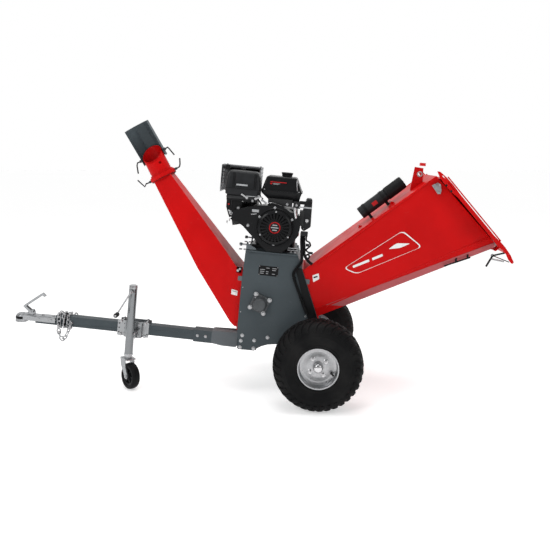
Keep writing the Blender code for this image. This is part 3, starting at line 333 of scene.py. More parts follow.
@dataclass(frozen=True)
class Zinc(Finish):
    """Zinc plate or galvanising: grey spangle, a little white bloom, metallic."""

    spangle: float = 150.0
    bloom: float = 0.35

    def dress(self, bench: Bench) -> None:
        """Wires the spangled colour and roughness.

        Args:
            bench: the bench it is wired into.
        """
        shader = bench.shader
        grain = bench.node("ShaderNodeSeparateColor")
        bench.wire(bench.cells(self.spangle), grain.inputs["Color"])
        value = grain.outputs["Red"]
        metal = bench.blend(value, shade(self.colour, 0.9), shade(self.colour, 1.1))
        bloom = bench.fitted(bench.noise(22.0, 6.0), 0.52, 0.72, 0.0, self.bloom)
        bench.wire(bench.blend(bloom, metal, (0.5, 0.51, 0.52)), shader.inputs["Base Color"])
        shader.inputs["Metallic"].default_value = 0.88
        rough = bench.fitted(value, 0.0, 1.0, self.roughness - 0.06, self.roughness + 0.08)
        bench.wire(bench.added(rough, bench.added(bloom, 0.5, "MULTIPLY")), shader.inputs["Roughness"])
        bench.bump(bench.noise(260.0, 3.0), 0.0001, 0.4)


@dataclass(frozen=True)
class GroundSteel(Finish):
    """Bare turned or ground steel with fine tool lines."""

    lines: Point = (1.0, 1.0, 40.0)

    def dress(self, bench: Bench) -> None:
        """Wires streaked roughness and fine lines.

        Args:
            bench: the bench it is wired into.
        """
        shader = bench.shader
        streak = bench.noise(60.0, 5.0, bench.stretched(self.lines))
        bench.wire(
            bench.blend(bench.fitted(streak, 0.3, 0.7, 0.0, 1.0), shade(self.colour, 0.82), self.colour),
            shader.inputs["Base Color"],
        )
        shader.inputs["Metallic"].default_value = 1.0
        rough = bench.fitted(streak, 0.3, 0.7, self.roughness - 0.08, self.roughness + 0.1)
        bench.wire(rough, shader.inputs["Roughness"])
        bench.bump(streak, 0.00005, 0.5)


@dataclass(frozen=True)
class Casting(Finish):
    """A painted casting with a sandy skin."""

    metallic: float = 0.25
    grit: float = 0.0004

    def dress(self, bench: Bench) -> None:
        """Wires the sandy skin and its uneven paint.

        Args:
            bench: the bench it is wired into.
        """
        shader = bench.shader
        skin = bench.noise(170.0, 6.0)
        patch = bench.fitted(bench.noise(18.0, 4.0), 0.3, 0.7, 0.0, 1.0)
        bench.wire(
            bench.blend(patch, shade(self.colour, 0.8), shade(self.colour, 1.2)), shader.inputs["Base Color"]
        )
        shader.inputs["Metallic"].default_value = self.metallic
        rough = bench.fitted(skin, 0.3, 0.7, self.roughness - 0.07, self.roughness + 0.1)
        bench.wire(rough, shader.inputs["Roughness"])
        bench.bump(skin, self.grit, 0.5)


@dataclass(frozen=True)
class Rubber(Finish):
    """Moulded rubber with pores and a dusty film."""

    dust: float = 0.25

    def dress(self, bench: Bench) -> None:
        """Wires the dusty film and the pores.

        Args:
            bench: the bench it is wired into.
        """
        shader = bench.shader
        shader.inputs["Specular IOR Level"].default_value = 0.07
        film = bench.fitted(bench.noise(9.0, 7.0), 0.42, 0.75, 0.0, self.dust)
        bench.wire(bench.blend(film, self.colour, (0.085, 0.082, 0.078)), shader.inputs["Base Color"])
        rough = bench.fitted(bench.noise(50.0, 4.0), 0.3, 0.7, self.roughness - 0.08, self.roughness + 0.1)
        bench.wire(rough, shader.inputs["Roughness"])
        bench.bump(bench.noise(500.0, 3.0), 0.00025, 0.5)


@dataclass(frozen=True)
class Moulding(Finish):
    """Injection-moulded plastic with a spark-eroded grain."""

    grain: float = 900.0

    def dress(self, bench: Bench) -> None:
        """Wires the grain and faint handling marks.

        Args:
            bench: the bench it is wired into.
        """
        shader = bench.shader
        shader.inputs["Specular IOR Level"].default_value = 0.16
        marks = bench.fitted(bench.noise(25.0, 5.0), 0.35, 0.7, 0.0, 1.0)
        bench.wire(
            bench.blend(marks, shade(self.colour, 0.9), shade(self.colour, 1.18)), shader.inputs["Base Color"]
        )
        rough = bench.fitted(marks, 0.0, 1.0, self.roughness - 0.05, self.roughness + 0.08)
        bench.wire(rough, shader.inputs["Roughness"])
        bench.bump(bench.cells(self.grain, "Distance"), 0.00018, 0.5)


@dataclass(frozen=True)
class PrintedFilm(Finish):
    """A printed vinyl label: plain ink with a faint emboss and handling haze."""

    def dress(self, bench: Bench) -> None:
        """Wires a barely uneven ink.

        Args:
            bench: the bench it is wired into.
        """
        shader = bench.shader
        shader.inputs["Specular IOR Level"].default_value = 0.12
        haze = bench.fitted(bench.noise(70.0, 5.0), 0.3, 0.7, 0.0, 1.0)
        bench.wire(
            bench.blend(haze, shade(self.colour, 0.93), shade(self.colour, 1.04)), shader.inputs["Base Color"]
        )
        rough = bench.fitted(haze, 0.0, 1.0, self.roughness - 0.05, self.roughness + 0.07)
        bench.wire(rough, shader.inputs["Roughness"])
        bench.bump(bench.noise(800.0, 2.0), 0.00004, 0.4)


@dataclass(frozen=True)
class StudioFloor(Finish):
    """A smooth pale studio floor, very slightly uneven, that glows a little."""

    glow: float = 0.45

    def dress(self, bench: Bench) -> None:
        """Wires a barely mottled matt surface.

        Args:
            bench: the bench it is wired into.
        """
        shader = bench.shader
        patch = bench.fitted(bench.noise(0.7, 3.0), 0.3, 0.7, 0.0, 1.0)
        bench.wire(bench.blend(patch, shade(self.colour, 0.985), self.colour), shader.inputs["Base Color"])
        shader.inputs["Roughness"].default_value = self.roughness
        shader.inputs["Specular IOR Level"].default_value = 0.0
        shader.inputs["Emission Color"].default_value = (1.0, 1.0, 1.0, 1.0)
        shader.inputs["Emission Strength"].default_value = self.glow
        bench.bump(bench.noise(60.0, 2.0), 0.00002, 0.2)


RED = Enamel("red_enamel", "red_paint", (0.52, 0.0052, 0.0056), 0.34, coat=0.05)
# Paler red for the hopper's downward chamfer band: a painted reflection of the white floor, not a second
# paint.
RED_FLOOR_REFLECTION = Enamel("red_pale_enamel", "red_paint", (0.37, 0.082, 0.088), 0.3, coat=0.2)
SLATE = Enamel("slate_enamel", "grey_paint", (0.064, 0.078, 0.086), 0.42, coat=0.08)
SLATE_PALE = Enamel("slate_pale_enamel", "grey_paint", (0.115, 0.13, 0.14), 0.42, coat=0.15)
BLACK = Enamel("black_enamel", "black_paint", (0.0105, 0.0108, 0.0116), 0.34, coat=0.12)
PLATED = Zinc("zinc_plate", "zinc", (0.4, 0.405, 0.415), 0.33, bloom=0.18)
GALVANISED = Zinc("galvanising", "zinc", (0.36, 0.37, 0.38), 0.4, spangle=90.0, bloom=0.3)
TUBE = GroundSteel("drawn_tube", "zinc", (0.23, 0.24, 0.248), 0.22, lines=(40.0, 40.0, 1.0))
BRIGHT = GroundSteel("ground_steel", "bright_steel", (0.66, 0.66, 0.67), 0.26)
BLACKENED = Casting("blackened_steel", "dark_steel", (0.045, 0.047, 0.05), 0.42, metallic=0.7, grit=0.0001)
IRON = Casting("cast_iron_skin", "cast_iron", (0.06, 0.066, 0.07), 0.5)
ALLOY = Casting("die_cast_black", "cast_alloy", (0.014, 0.0145, 0.0155), 0.4, metallic=0.3, grit=0.0002)
TYRE = Rubber("tyre_compound", "tyre_rubber", (0.0062, 0.0064, 0.0068), 0.58, dust=0.1)
JOCKEY = Rubber("jockey_compound", "jockey_rubber", (0.007, 0.0072, 0.0078), 0.46, dust=0.08)
BELT = Rubber("belt_compound", "belt_rubber", (0.018, 0.018, 0.019), 0.62)
PLASTIC = Moulding("black_moulding", "black_plastic", (0.015, 0.0158, 0.0172), 0.38)
SOFT_BLACK = Moulding("soft_black_moulding", "black_plastic", (0.006, 0.0062, 0.0068), 0.5)
RED_PLASTIC = Moulding("red_moulding", "red_plastic", (0.55, 0.012, 0.012), 0.34)
WHITE_INK = PrintedFilm("white_ink", "red_paint", (0.8, 0.8, 0.79), 0.35)
SILVER_INK = PrintedFilm("silver_ink", "zinc", (0.36, 0.37, 0.38), 0.32)
RED_INK = PrintedFilm("red_ink", "red_plastic", (0.42, 0.016, 0.018), 0.32)
DARK_INK = PrintedFilm("dark_ink", "black_plastic", (0.006, 0.0062, 0.007), 0.36)
FLOOR = StudioFloor("studio_floor", "", (0.9, 0.9, 0.9), 0.85)


# ------------------------------------------------------------------ the machine's frame


class Machine:
    """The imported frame: where the level machine frame lies, and where its joints are."""

    def __init__(self) -> None:
        """Loads the frame and works out the machine's stance."""
        self.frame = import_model()
        self.box_at_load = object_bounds()
        self.joints = {joint["name"]: joint for joint in self.frame["joints"]}
        axle = Vector(self.joints["wheel_near_spin"]["pos_m"])
        down = Vector(self.joints["jack_height"]["axis"])
        self.nose_up = math.atan2(-down.x, -down.z)
        self.axle = Vector((axle.x, 0.0, axle.z))
        self.track_half = abs(axle.y)
        self.level = Matrix.Translation(self.axle) @ Matrix.Rotation(self.nose_up, 4, "Y")
        self.unlevel = self.level.inverted()

    def joint_at(self, name: str) -> Vector:
        """A joint's place in the level machine frame."""
        return self.unlevel @ Vector(self.joints[name]["pos_m"])

    def joint_axis(self, name: str) -> Vector:
        """A joint's axis in the level machine frame."""
        return (self.unlevel.to_3x3() @ Vector(self.joints[name]["axis"])).normalized()

    def box(self, node: str) -> tuple[Vector, Vector]:
        """A node's box in the level machine frame, from its own vertices.

        Args:
            node: the node's name.

        Returns:
            Its lowest and highest corners.
        """
        points = [self.unlevel @ v.co for v in self.frame["nodes"][node].data.vertices]
        low = Vector(min(p[i] for p in points) for i in range(3))
        high = Vector(max(p[i] for p in points) for i in range(3))
        return low, high

    def carry(self, node: str, finish: Finish, edge: float = 0.0, angle: float = 35.0) -> None:
        """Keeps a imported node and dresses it.

        Args:
            node: the node's name.
            finish: what it is finished in.
            edge: width of the rounding on its sharp edges, or 0 for none.
            angle: degrees over which an edge counts as sharp.
        """
        obj = self.frame["nodes"][node]
        obj.data.materials.clear()
        obj.data.materials.append(finish.material())
        soften(obj, edge, angle)
        LOG.info("carried %s in %s", node, finish.name)


def soften(obj: bpy.types.Object, edge: float, angle: float = 35.0) -> None:
    """Shades an object smooth between its sharp edges and rounds those edges.

    Args:
        obj: the object.
        edge: the rounding's width, or 0 for none.
        angle: degrees over which an edge counts as sharp.
    """
    obj.data.shade_smooth()
    obj.data.set_sharp_from_angle(angle=math.radians(angle))
    if edge <= 0.0:
        return
    weld = obj.modifiers.new("weld", "WELD")
    weld.merge_threshold = 0.00002
    rounding = obj.modifiers.new("rounding", "BEVEL")
    rounding.width = edge
    rounding.segments = 2
    rounding.limit_method = "ANGLE"
    rounding.angle_limit = math.radians(angle)
    rounding.use_clamp_overlap = True
    evened = obj.modifiers.new("even_faces", "WEIGHTED_NORMAL")
    evened.keep_sharp = True


# ------------------------------------------------------------------ making shapes


def arc(centre: Spot, radius: float, start: float, stop: float, steps: int) -> list[Spot]:
    """Points along an arc, with angles in degrees from +X towards +Z."""
    angles = (math.radians(start + (stop - start) * i / steps) for i in range(steps + 1))
    return [(centre[0] + radius * math.cos(a), centre[1] + radius * math.sin(a)) for a in angles]


def oblong(left: float, low: float, right: float, high: float) -> list[Spot]:
    """The four corners of a rectangle, or of a turned shape's square section."""
    return [(left, low), (right, low), (right, high), (left, high)]


def rounded(corners: Sequence[Spot], radius: float, steps: int = 4) -> list[Spot]:
    """An outline with each corner rounded.

    Args:
        corners: the outline's corners in order.
        radius: how far from each corner the rounding starts.
        steps: points in each rounding, less one.

    Returns:
        The rounded outline.
    """
    points: list[Spot] = []
    for before, here, after in zip(corners[-1:] + corners[:-1], corners, corners[1:] + corners[:1]):
        corner = Vector(here)
        first = Vector(before) - corner
        second = Vector(after) - corner
        start = corner + first.normalized() * min(radius, first.length * 0.45)
        end = corner + second.normalized() * min(radius, second.length * 0.45)
        for i in range(steps + 1):
            t = i / steps
            spot = start.lerp(corner, t).lerp(corner.lerp(end, t), t)
            points.append((spot.x, spot.y))
    return points


def pitched(start: float, stop: float, pitch: float) -> list[float]:
    """Evenly pitched places from start up to stop."""
    return [start + pitch * i for i in range(max(1, int((stop - start) / pitch) + 1))]


def smooth_route(points: Sequence[Point], steps: int) -> list[Vector]:
    """A smooth curve through a list of points.

    Args:
        points: the points it passes through, in order.
        steps: how many stretches lie between two points.

    Returns:
        The route, with both end points.
    """
    knots = [Vector(points[0]), *map(Vector, points), Vector(points[-1])]
    route = []
    for a, b, c, d in zip(knots, knots[1:], knots[2:], knots[3:]):
        for i in range(steps):
            t = i / steps
            bend = (2 * a - 5 * b + 4 * c - d) * t * t + (3 * b - a - 3 * c + d) * t * t * t
            route.append(0.5 * (2 * b + (c - a) * t + bend))
    return [*route, knots[-1]]


class Stock:
    """One piece in the making: bar, sheet, turned and cast shapes gathered in one mesh."""

    def __init__(self, *finishes: Finish) -> None:
        """Starts an empty piece.

        Args:
            finishes: what the piece is finished in; use() picks one by its place in this list.
        """
        self.finishes = finishes
        self.current = 0
        self.mesh = bmesh.new()

    def use(self, finish: Finish) -> "Stock":
        """Gives the shapes that follow one of the piece's finishes."""
        self.current = self.finishes.index(finish)
        return self

    def _claim(self, count: int) -> None:
        """Marks the faces made since there were count of them with the current finish.

        Args:
            count: how many faces there were before.
        """
        self.mesh.faces.ensure_lookup_table()
        for face in self.mesh.faces[count:]:
            face.material_index = self.current

    def box(self, low: Sequence[float], high: Sequence[float], place: Matrix | None = None) -> "Stock":
        """A block between two corners.

        Args:
            low: its lowest corner.
            high: its highest corner.
            place: where the block's own frame lies, or the machine's frame when left out.

        Returns:
            The stock itself.
        """
        count = len(self.mesh.faces)
        low, high = Vector(low), Vector(high)
        shape = Matrix.Translation((low + high) / 2) @ Matrix.Diagonal((*(high - low), 1.0))
        bmesh.ops.create_cube(self.mesh, size=1.0, matrix=(place or Matrix()) @ shape)
        self._claim(count)
        return self

    def rod(self, start: Sequence[float], end: Sequence[float], radius: float, tip: float | None = None,
            sides: int = 24) -> "Stock":
        """A round bar, or a taper when tip is given.

        Args:
            start: centre of one end.
            end: centre of the other end.
            radius: radius at the start.
            tip: radius at the end, if it differs.
            sides: number of sides.

        Returns:
            The stock itself.
        """
        count = len(self.mesh.faces)
        start, end = Vector(start), Vector(end)
        along = end - start
        turn = along.to_track_quat("Z", "Y").to_matrix().to_4x4()
        bmesh.ops.create_cone(
            self.mesh,
            cap_ends=True,
            segments=sides,
            radius1=radius,
            radius2=radius if tip is None else tip,
            depth=along.length,
            matrix=Matrix.Translation((start + end) / 2) @ turn,
        )
        self._claim(count)
        return self

    def turned(
        self, profile: Sequence[Spot], place: Matrix, steps: int = 48, closed: bool = False
    ) -> "Stock":
        """A turned shape from (radius, height) points.

        Args:
            profile: the points from one end of the shape to the other.
            place: the matrix that stands the shape's +Z axis where it belongs.
            steps: points round the shape.
            closed: whether the last point joins the first, as on a ring.

        Returns:
            The stock itself.
        """
        count = len(self.mesh.faces)
        rings: list[list[bmesh.types.BMVert]] = []
        for radius, height in profile:
            if radius < 1e-6:
                rings.append([self.mesh.verts.new(place @ Vector((0, 0, height)))])
                continue
            ring = []
            for i in range(steps):
                angle = math.tau * i / steps
                spot = Vector((radius * math.cos(angle), radius * math.sin(angle), height))
                ring.append(self.mesh.verts.new(place @ spot))
            rings.append(ring)
        pairs = list(zip(rings, rings[1:]))
        if closed:
            pairs.append((rings[-1], rings[0]))
        for first, second in pairs:
            self._bridge(first, second)
        self._claim(count)
        return self

    def _bridge(self, first: list[bmesh.types.BMVert], second: list[bmesh.types.BMVert]) -> None:
        """Joins two rings with faces; either may be a single point.

        Args:
            first: one ring, in order.
            second: the other ring, in the same order.
        """
        size = max(len(first), len(second))
        if size == 1:
            return
        for i in range(size):
            j = (i + 1) % size
            if len(first) == 1:
                self.mesh.faces.new((first[0], second[j], second[i]))
            elif len(second) == 1:
                self.mesh.faces.new((first[i], first[j], second[0]))
            else:
                self.mesh.faces.new((first[i], first[j], second[j], second[i]))

    def loft(self, rings: Sequence[Sequence[Sequence[float]]], caps: bool = True, closed: bool = False,
             place: Matrix | None = None) -> "Stock":
        """A skin over equal-length rings of points.

        Args:
            rings: the rings in order.
            caps: whether the two ends are closed.
            closed: whether the last ring joins the first.
            place: where the points' frame lies.

        Returns:
            The stock itself.
        """
        count = len(self.mesh.faces)
        place = place or Matrix()
        made = [[self.mesh.verts.new(place @ Vector(p)) for p in ring] for ring in rings]
        for first, second in zip(made, made[1:]):
            self._bridge(first, second)
        if closed:
            self._bridge(made[-1], made[0])
        elif caps:
            self.mesh.faces.new(made[0][::-1])
            self.mesh.faces.new(made[-1])
        self._claim(count)
        return self

    def plate(self, outline: Sequence[Spot], near: float, far: float, holes: Sequence[Sequence[Spot]] = (),
              place: Matrix | None = None) -> "Stock":
        """A flat plate in an XZ plane, with holes.

        Args:
            outline: its outer edge as (x, z) points.
            near: the Y of one face.
            far: the Y of the other face.
            holes: the edge of each hole.
            place: where the plate's frame lies.

        Returns:
            The stock itself.
        """
        count = len(self.mesh.faces)
        curve = bpy.data.curves.new("outline", "CURVE")
        curve.dimensions = "2D"
        curve.fill_mode = "BOTH"
        curve.extrude = abs(far - near) / 2
        for edge in (outline, *holes):
            spline = curve.splines.new("POLY")
            spline.points.add(len(edge) - 1)
            for point, (x, z) in zip(spline.points, edge):
                point.co = (x, z, 0, 1)
            spline.use_cyclic_u = True
        helper = bpy.data.objects.new("outline", curve)
        mesh = helper.to_mesh()
        lift = Matrix.Translation((0, (near + far) / 2, 0)) @ Matrix.Rotation(math.pi / 2, 4, "X")
        mesh.transform((place or Matrix()) @ lift)
        self.mesh.from_mesh(mesh)
        helper.to_mesh_clear()
        bpy.data.objects.remove(helper)
        bpy.data.curves.remove(curve)
        self._claim(count)
        return self

    def sweep(self, route: Sequence[Sequence[float]], radius: float | Callable[[float], float],
              sides: int = 12, closed: bool = False) -> "Stock":
        """A round section carried along a route.

        Args:
            route: the points of its centre line.
            radius: the section's radius, or a function of the distance along the route.
            sides: sides of the section.
            closed: whether the route is a loop.

        Returns:
            The stock itself.
        """
        points = [Vector(p) for p in route]
        total = len(points)
        rings = []
        across = None
        distance = 0.0
        for i, here in enumerate(points):
            before = points[i - 1] if i or closed else here
            after = points[(i + 1) % total] if i + 1 < total or closed else here
            ahead = (after - before).normalized()
            if across is None:
                across = ahead.orthogonal().normalized()
            across = (across - ahead * across.dot(ahead)).normalized()
            over = ahead.cross(across)
            size = radius(distance) if callable(radius) else radius
            angles = [math.tau * k / sides for k in range(sides)]
            rings.append([here + (across * math.cos(a) + over * math.sin(a)) * size for a in angles])
            if i + 1 < total:
                distance += (points[i + 1] - here).length
        return self.loft(rings, caps=not closed, closed=closed)

    def bolt(self, at: Sequence[float], axis: Sequence[float], size: float, washer: bool = True,
             height: float | None = None) -> "Stock":
        """A hexagon head with a chamfered crown, standing on a washer.

        Args:
            at: where the washer's underside meets the work.
            axis: the way the head points.
            size: radius of the head over its corners.
            washer: whether there is a washer.
            height: height of the head, or a usual one when left out.

        Returns:
            The stock itself.
        """
        place = facing(at, axis)
        rise = 0.0
        if washer:
            rise = size * 0.16
            rim = size * 1.32
            self.turned([(0, 0), (rim, 0), (rim, rise * 0.7), (rim * 0.96, rise), (0, rise)], place, 24)
        top = rise + (height or size * 0.62)
        crown = [(0, rise), (size, rise), (size, top - size * 0.12), (size * 0.84, top), (0, top)]
        self.turned(crown, place @ Matrix.Rotation(0.3, 4, "Z"), 6)
        return self

    def screw(self, at: Sequence[float], axis: Sequence[float], size: float) -> "Stock":
        """A domed pan-head screw with a cross recess ring.

        Args:
            at: the middle of the face it sits on.
            axis: the way its head faces.
            size: its head's radius.

        Returns:
            This stock.
        """
        profile = [(0, 0), (size, 0), (size * 0.95, size * 0.35), (size * 0.6, size * 0.6),
                   (size * 0.32, size * 0.62), (size * 0.26, size * 0.3), (0, size * 0.28)]
        return self.turned(profile, facing(at, axis), 16)

    def done(self, name: str, body: str, machine: Machine, edge: float = 0.0, angle: float = 35.0,
             replaces: Iterable[str] = (), world: bool = False) -> bpy.types.Object:
        """Finishes the piece and fits it to the machine.

        Args:
            name: the piece's name.
            body: the moving body that it rides on.
            machine: the machine that it is fitted to.
            edge: rounding of its sharp edges, or 0 for none.
            angle: degrees over which an edge counts as sharp.
            replaces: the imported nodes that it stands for.
            world: whether the shapes were drawn in the row's frame and not the machine's.

        Returns:
            The piece's object.
        """
        bmesh.ops.remove_doubles(self.mesh, verts=self.mesh.verts, dist=0.000002)
        bmesh.ops.recalc_face_normals(self.mesh, faces=self.mesh.faces)
        mesh = bpy.data.meshes.new(name)
        self.mesh.to_mesh(mesh)
        self.mesh.free()
        if not world:
            mesh.transform(machine.level)
        for finish in self.finishes:
            mesh.materials.append(finish.material())
        obj = bpy.data.objects.new(name, mesh)
        bpy.context.scene.collection.objects.link(obj)
        soften(obj, edge, angle)
        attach(obj, body)
        if replaces:
            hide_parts(*replaces)
        LOG.info("made %s on %s", name, body)
        return obj


def hole(centre: Spot, radius: float, steps: int = 16) -> list[Spot]:
    """The edge of a round hole."""
    return arc(centre, radius, 0, 360 - 360 / steps, steps - 1)


def facing(centre: Sequence[float], axis: Sequence[float]) -> Matrix:
    """A matrix that stands +Z along an axis at a centre."""
    return Matrix.Translation(centre) @ Vector(axis).to_track_quat("Z", "Y").to_matrix().to_4x4()


NEARWARD = (0.0, -1.0, 0.0)
FARWARD = (0.0, 1.0, 0.0)


# ------------------------------------------------------------------ running gear


@dataclass
class RoadWheel:
    """One road wheel: a lugged tyre on a pressed zinc rim."""

    machine: Machine
    side: Side
    lugs: int = 34
    lug_slant: float = 2.6
    lug_width: float = 0.043
    stud_circle: float = 0.05
    stud_turn: float = -12.0
    valve_radius: float = 0.079
    lug_top: tuple[Spot, ...] = ((0.01, 0.2412), (0.036, 0.2403), (0.056, 0.2362), (0.071, 0.2288),
                                 (0.0822, 0.215), (0.0872, 0.1975))
    lug_root: tuple[Spot, ...] = ((0.01, 0.235), (0.034, 0.2325), (0.052, 0.2272), (0.065, 0.22),
                                  (0.0745, 0.208), (0.08, 0.195))

    def __post_init__(self) -> None:
        """Works out where the wheel stands."""
        middle = self.machine.axle + Vector((0, self.side.value * self.machine.track_half, 0))
        turn = Matrix.Rotation(math.radians(-90 * self.side.value), 4, "X")
        self.place = Matrix.Translation(middle) @ turn
        self.body = "wheel_" + self.side.word

    def build(self) -> None:
        """Builds the tyre and the rim."""
        self.tyre()
        self.rim()

    def tyre(self) -> None:
        """The carcass, its bead rings and its tread lugs."""
        wall = [(0.1045, 0.07), (0.1115, 0.077), (0.1185, 0.0815), (0.1245, 0.0822), (0.1285, 0.0804),
                (0.15, 0.0855), (0.17, 0.0868), (0.172, 0.088), (0.175, 0.088), (0.177, 0.0866),
                (0.19, 0.085), (0.206, 0.0804), (0.219, 0.0715), (0.229, 0.056), (0.235, 0.033),
                (0.2372, 0.0)]
        lining = [(0.226, 0.0), (0.219, 0.055), (0.2, 0.072), (0.15, 0.077), (0.11, 0.062)]
        outer = wall + [(r, -h) for r, h in reversed(wall[:-1])]
        inner = [(r, -h) for r, h in reversed(lining[1:])] + lining
        stock = Stock(TYRE).turned(outer + inner, self.place, 96, closed=True)
        pitch = math.tau / self.lugs
        for i in range(self.lugs):
            self.shoulder_lug(stock, pitch * i, 1)
            self.shoulder_lug(stock, pitch * (i + 0.5), -1)
            self.centre_lug(stock, pitch * (i + 0.22), 1)
            self.centre_lug(stock, pitch * (i + 0.72), -1)
        name = "tyre_lugged_" + self.side.word
        plain = "tyre_" + self.side.word
        stock.done(name, self.body, self.machine, edge=0.0012, replaces=[plain], world=True)

    def spot(self, radius: float, height: float, angle: float) -> Point:
        """A point on the tyre from its radius, height over the middle and angle."""
        return (radius * math.cos(angle), radius * math.sin(angle), height)

    def shoulder_lug(self, stock: Stock, angle: float, hand: int) -> None:
        """A lug that runs from the crown over the shoulder, slanting as it goes.

        Args:
            stock: the tyre's stock.
            angle: where it sits round the tyre.
            hand: 1 or -1, the side it is on.
        """
        rings = []
        for (top_h, top_r), (root_h, root_r) in zip(self.lug_top, self.lug_root):
            lean = angle + hand * self.lug_slant * (top_h - 0.01)
            half = self.lug_width * (0.8 + 3.5 * top_h)
            rings.append([
                self.spot(root_r, hand * root_h, lean - half * 1.12),
                self.spot(root_r, hand * root_h, lean + half * 1.12),
                self.spot(top_r, hand * top_h, lean + half * 0.86),
                self.spot(top_r, hand * top_h, lean - half * 0.86),
            ])
        stock.loft(rings, place=self.place)

    def centre_lug(self, stock: Stock, angle: float, hand: int) -> None:
        """A short diagonal lug on the crown.

        Args:
            stock: the tyre's stock.
            angle: where it sits round the tyre.
            hand: 1 or -1, the way it slants.
        """
        rings = []
        for height in (-0.016, -0.006, 0.006, 0.016):
            lean = angle + hand * height * 2.4
            half = 0.034
            rings.append([
                self.spot(0.2325, height, lean - half * 1.15),
                self.spot(0.2325, height, lean + half * 1.15),
                self.spot(0.2412, height, lean + half * 0.85),
                self.spot(0.2412, height, lean - half * 0.85),
            ])
        stock.loft(rings, place=self.place)

    def rim(self) -> None:
        """The dished disc, flanges, hub, nuts, cap and valve."""
        lip = [(0.1005, 0.044), (0.1018, 0.06), (0.102, 0.0765), (0.1035, 0.079), (0.1088, 0.0795),
               (0.1102, 0.078), (0.1098, 0.0765), (0.108, 0.0755), (0.1044, 0.072)]
        back_lip = [(r, -h) for r, h in reversed(lip[2:])]
        disc = [(0.024, 0.04), (0.054, 0.04), (0.062, 0.0378), (0.078, 0.0335), (0.088, 0.0335),
                (0.097, 0.0375)]
        behind = [(0.1005, 0.03), (0.085, 0.0295), (0.052, 0.036), (0.024, 0.036)]
        stock = Stock(PLATED, BRIGHT, SOFT_BLACK)
        stock.turned(disc + lip + back_lip + behind, self.place, 64, closed=True)
        hub = [(0.0, 0.045), (0.029, 0.045), (0.03, 0.04), (0.03, -0.039), (0.0, -0.039)]
        stock.turned(hub, self.place, 40)
        stock.use(BRIGHT)
        cap = [(0.0268, 0.044), (0.0268, 0.054), (0.0255, 0.056), (0.025, 0.0655), (0.0222, 0.0715),
               (0.0165, 0.0752), (0.0085, 0.0771), (0.0, 0.0775)]
        stock.turned(cap, self.place, 40)
        for i in range(4):
            angle = math.radians(45 + self.stud_turn + 90 * i)
            x, y = self.stud_circle * math.cos(angle), self.stud_circle * math.sin(angle)
            seat = self.place @ Matrix.Translation((x, y, 0.0396))
            stock.turned([(0, 0), (0.0135, 0), (0.0135, 0.0015), (0.0115, 0.003), (0, 0.003)], seat, 24)
            stock.turned([(0, 0.002), (0.01, 0.002), (0.01, 0.0105), (0.0086, 0.0122), (0, 0.0122)], seat, 6)
            stud = [(0, 0.01), (0.0052, 0.01), (0.0052, 0.0165), (0.0042, 0.0175), (0, 0.0175)]
            stock.turned(stud, seat, 14)
        stock.use(SOFT_BLACK)
        angle = math.radians(-27)
        x, y = self.valve_radius * math.cos(angle), self.valve_radius * math.sin(angle)
        seat = self.place @ Matrix.Translation((x, y, 0.032)) @ Matrix.Rotation(0.2, 4, "Y")
        valve = [(0, 0), (0.007, 0), (0.007, 0.006), (0.005, 0.01), (0.0044, 0.022), (0.0052, 0.024),
                 (0.0052, 0.034), (0.004, 0.036), (0, 0.036)]
        stock.turned(valve, seat, 16)
        name = "rim_pressed_" + self.side.word
        stock.done(name, self.body, self.machine, replaces=["rim_" + self.side.word], world=True)


@dataclass
class Drawbar:
    """The axle frame, its socket and the square drawbar that slides into it."""

    machine: Machine
    bolt_spots: tuple[float, ...] = (-0.706, -0.658)
    bolt_size: float = 0.0066
    gusset: tuple[Spot, ...] = ((-0.622, 0.0225), (-0.47, 0.029), (-0.47, -0.06), (-0.556, -0.06),
                                (-0.622, -0.05))

    def build(self) -> None:
        """Dresses the frame and adds its gussets and fixings."""
        self.machine.carry("chassis", SLATE, 0.0022)
        self.machine.carry("drawbar_tube", SLATE, 0.003)
        self.gussets()
        self.fixings()

    def gussets(self) -> None:
        """Side cheeks and a capping strip that tie the socket to the housing."""
        socket_low, socket_high = self.machine.box("chassis")
        stock = Stock(SLATE_PALE)
        half = 0.0358
        outline = rounded(list(self.gusset), 0.012)
        for side in Side:
            stock.plate(outline, side.value * half, side.value * (half + 0.0045))
        stock.box((-0.622, -half, 0.0178), (-0.47, half, 0.0215))
        stock.done("socket_gussets", "frame", self.machine, edge=0.0012)
        LOG.info("frame spans %.3f m", (socket_high - socket_low).x)

    def fixings(self) -> None:
        """Through bolts in the socket and the bolts that hold the cross member."""
        stock = Stock(PLATED)
        for x in self.bolt_spots:
            for side in Side:
                stock.bolt((x, side.value * 0.0355, -0.017), (0, side.value, 0), self.bolt_size)
        stock.done("socket_bolts", "frame", self.machine)


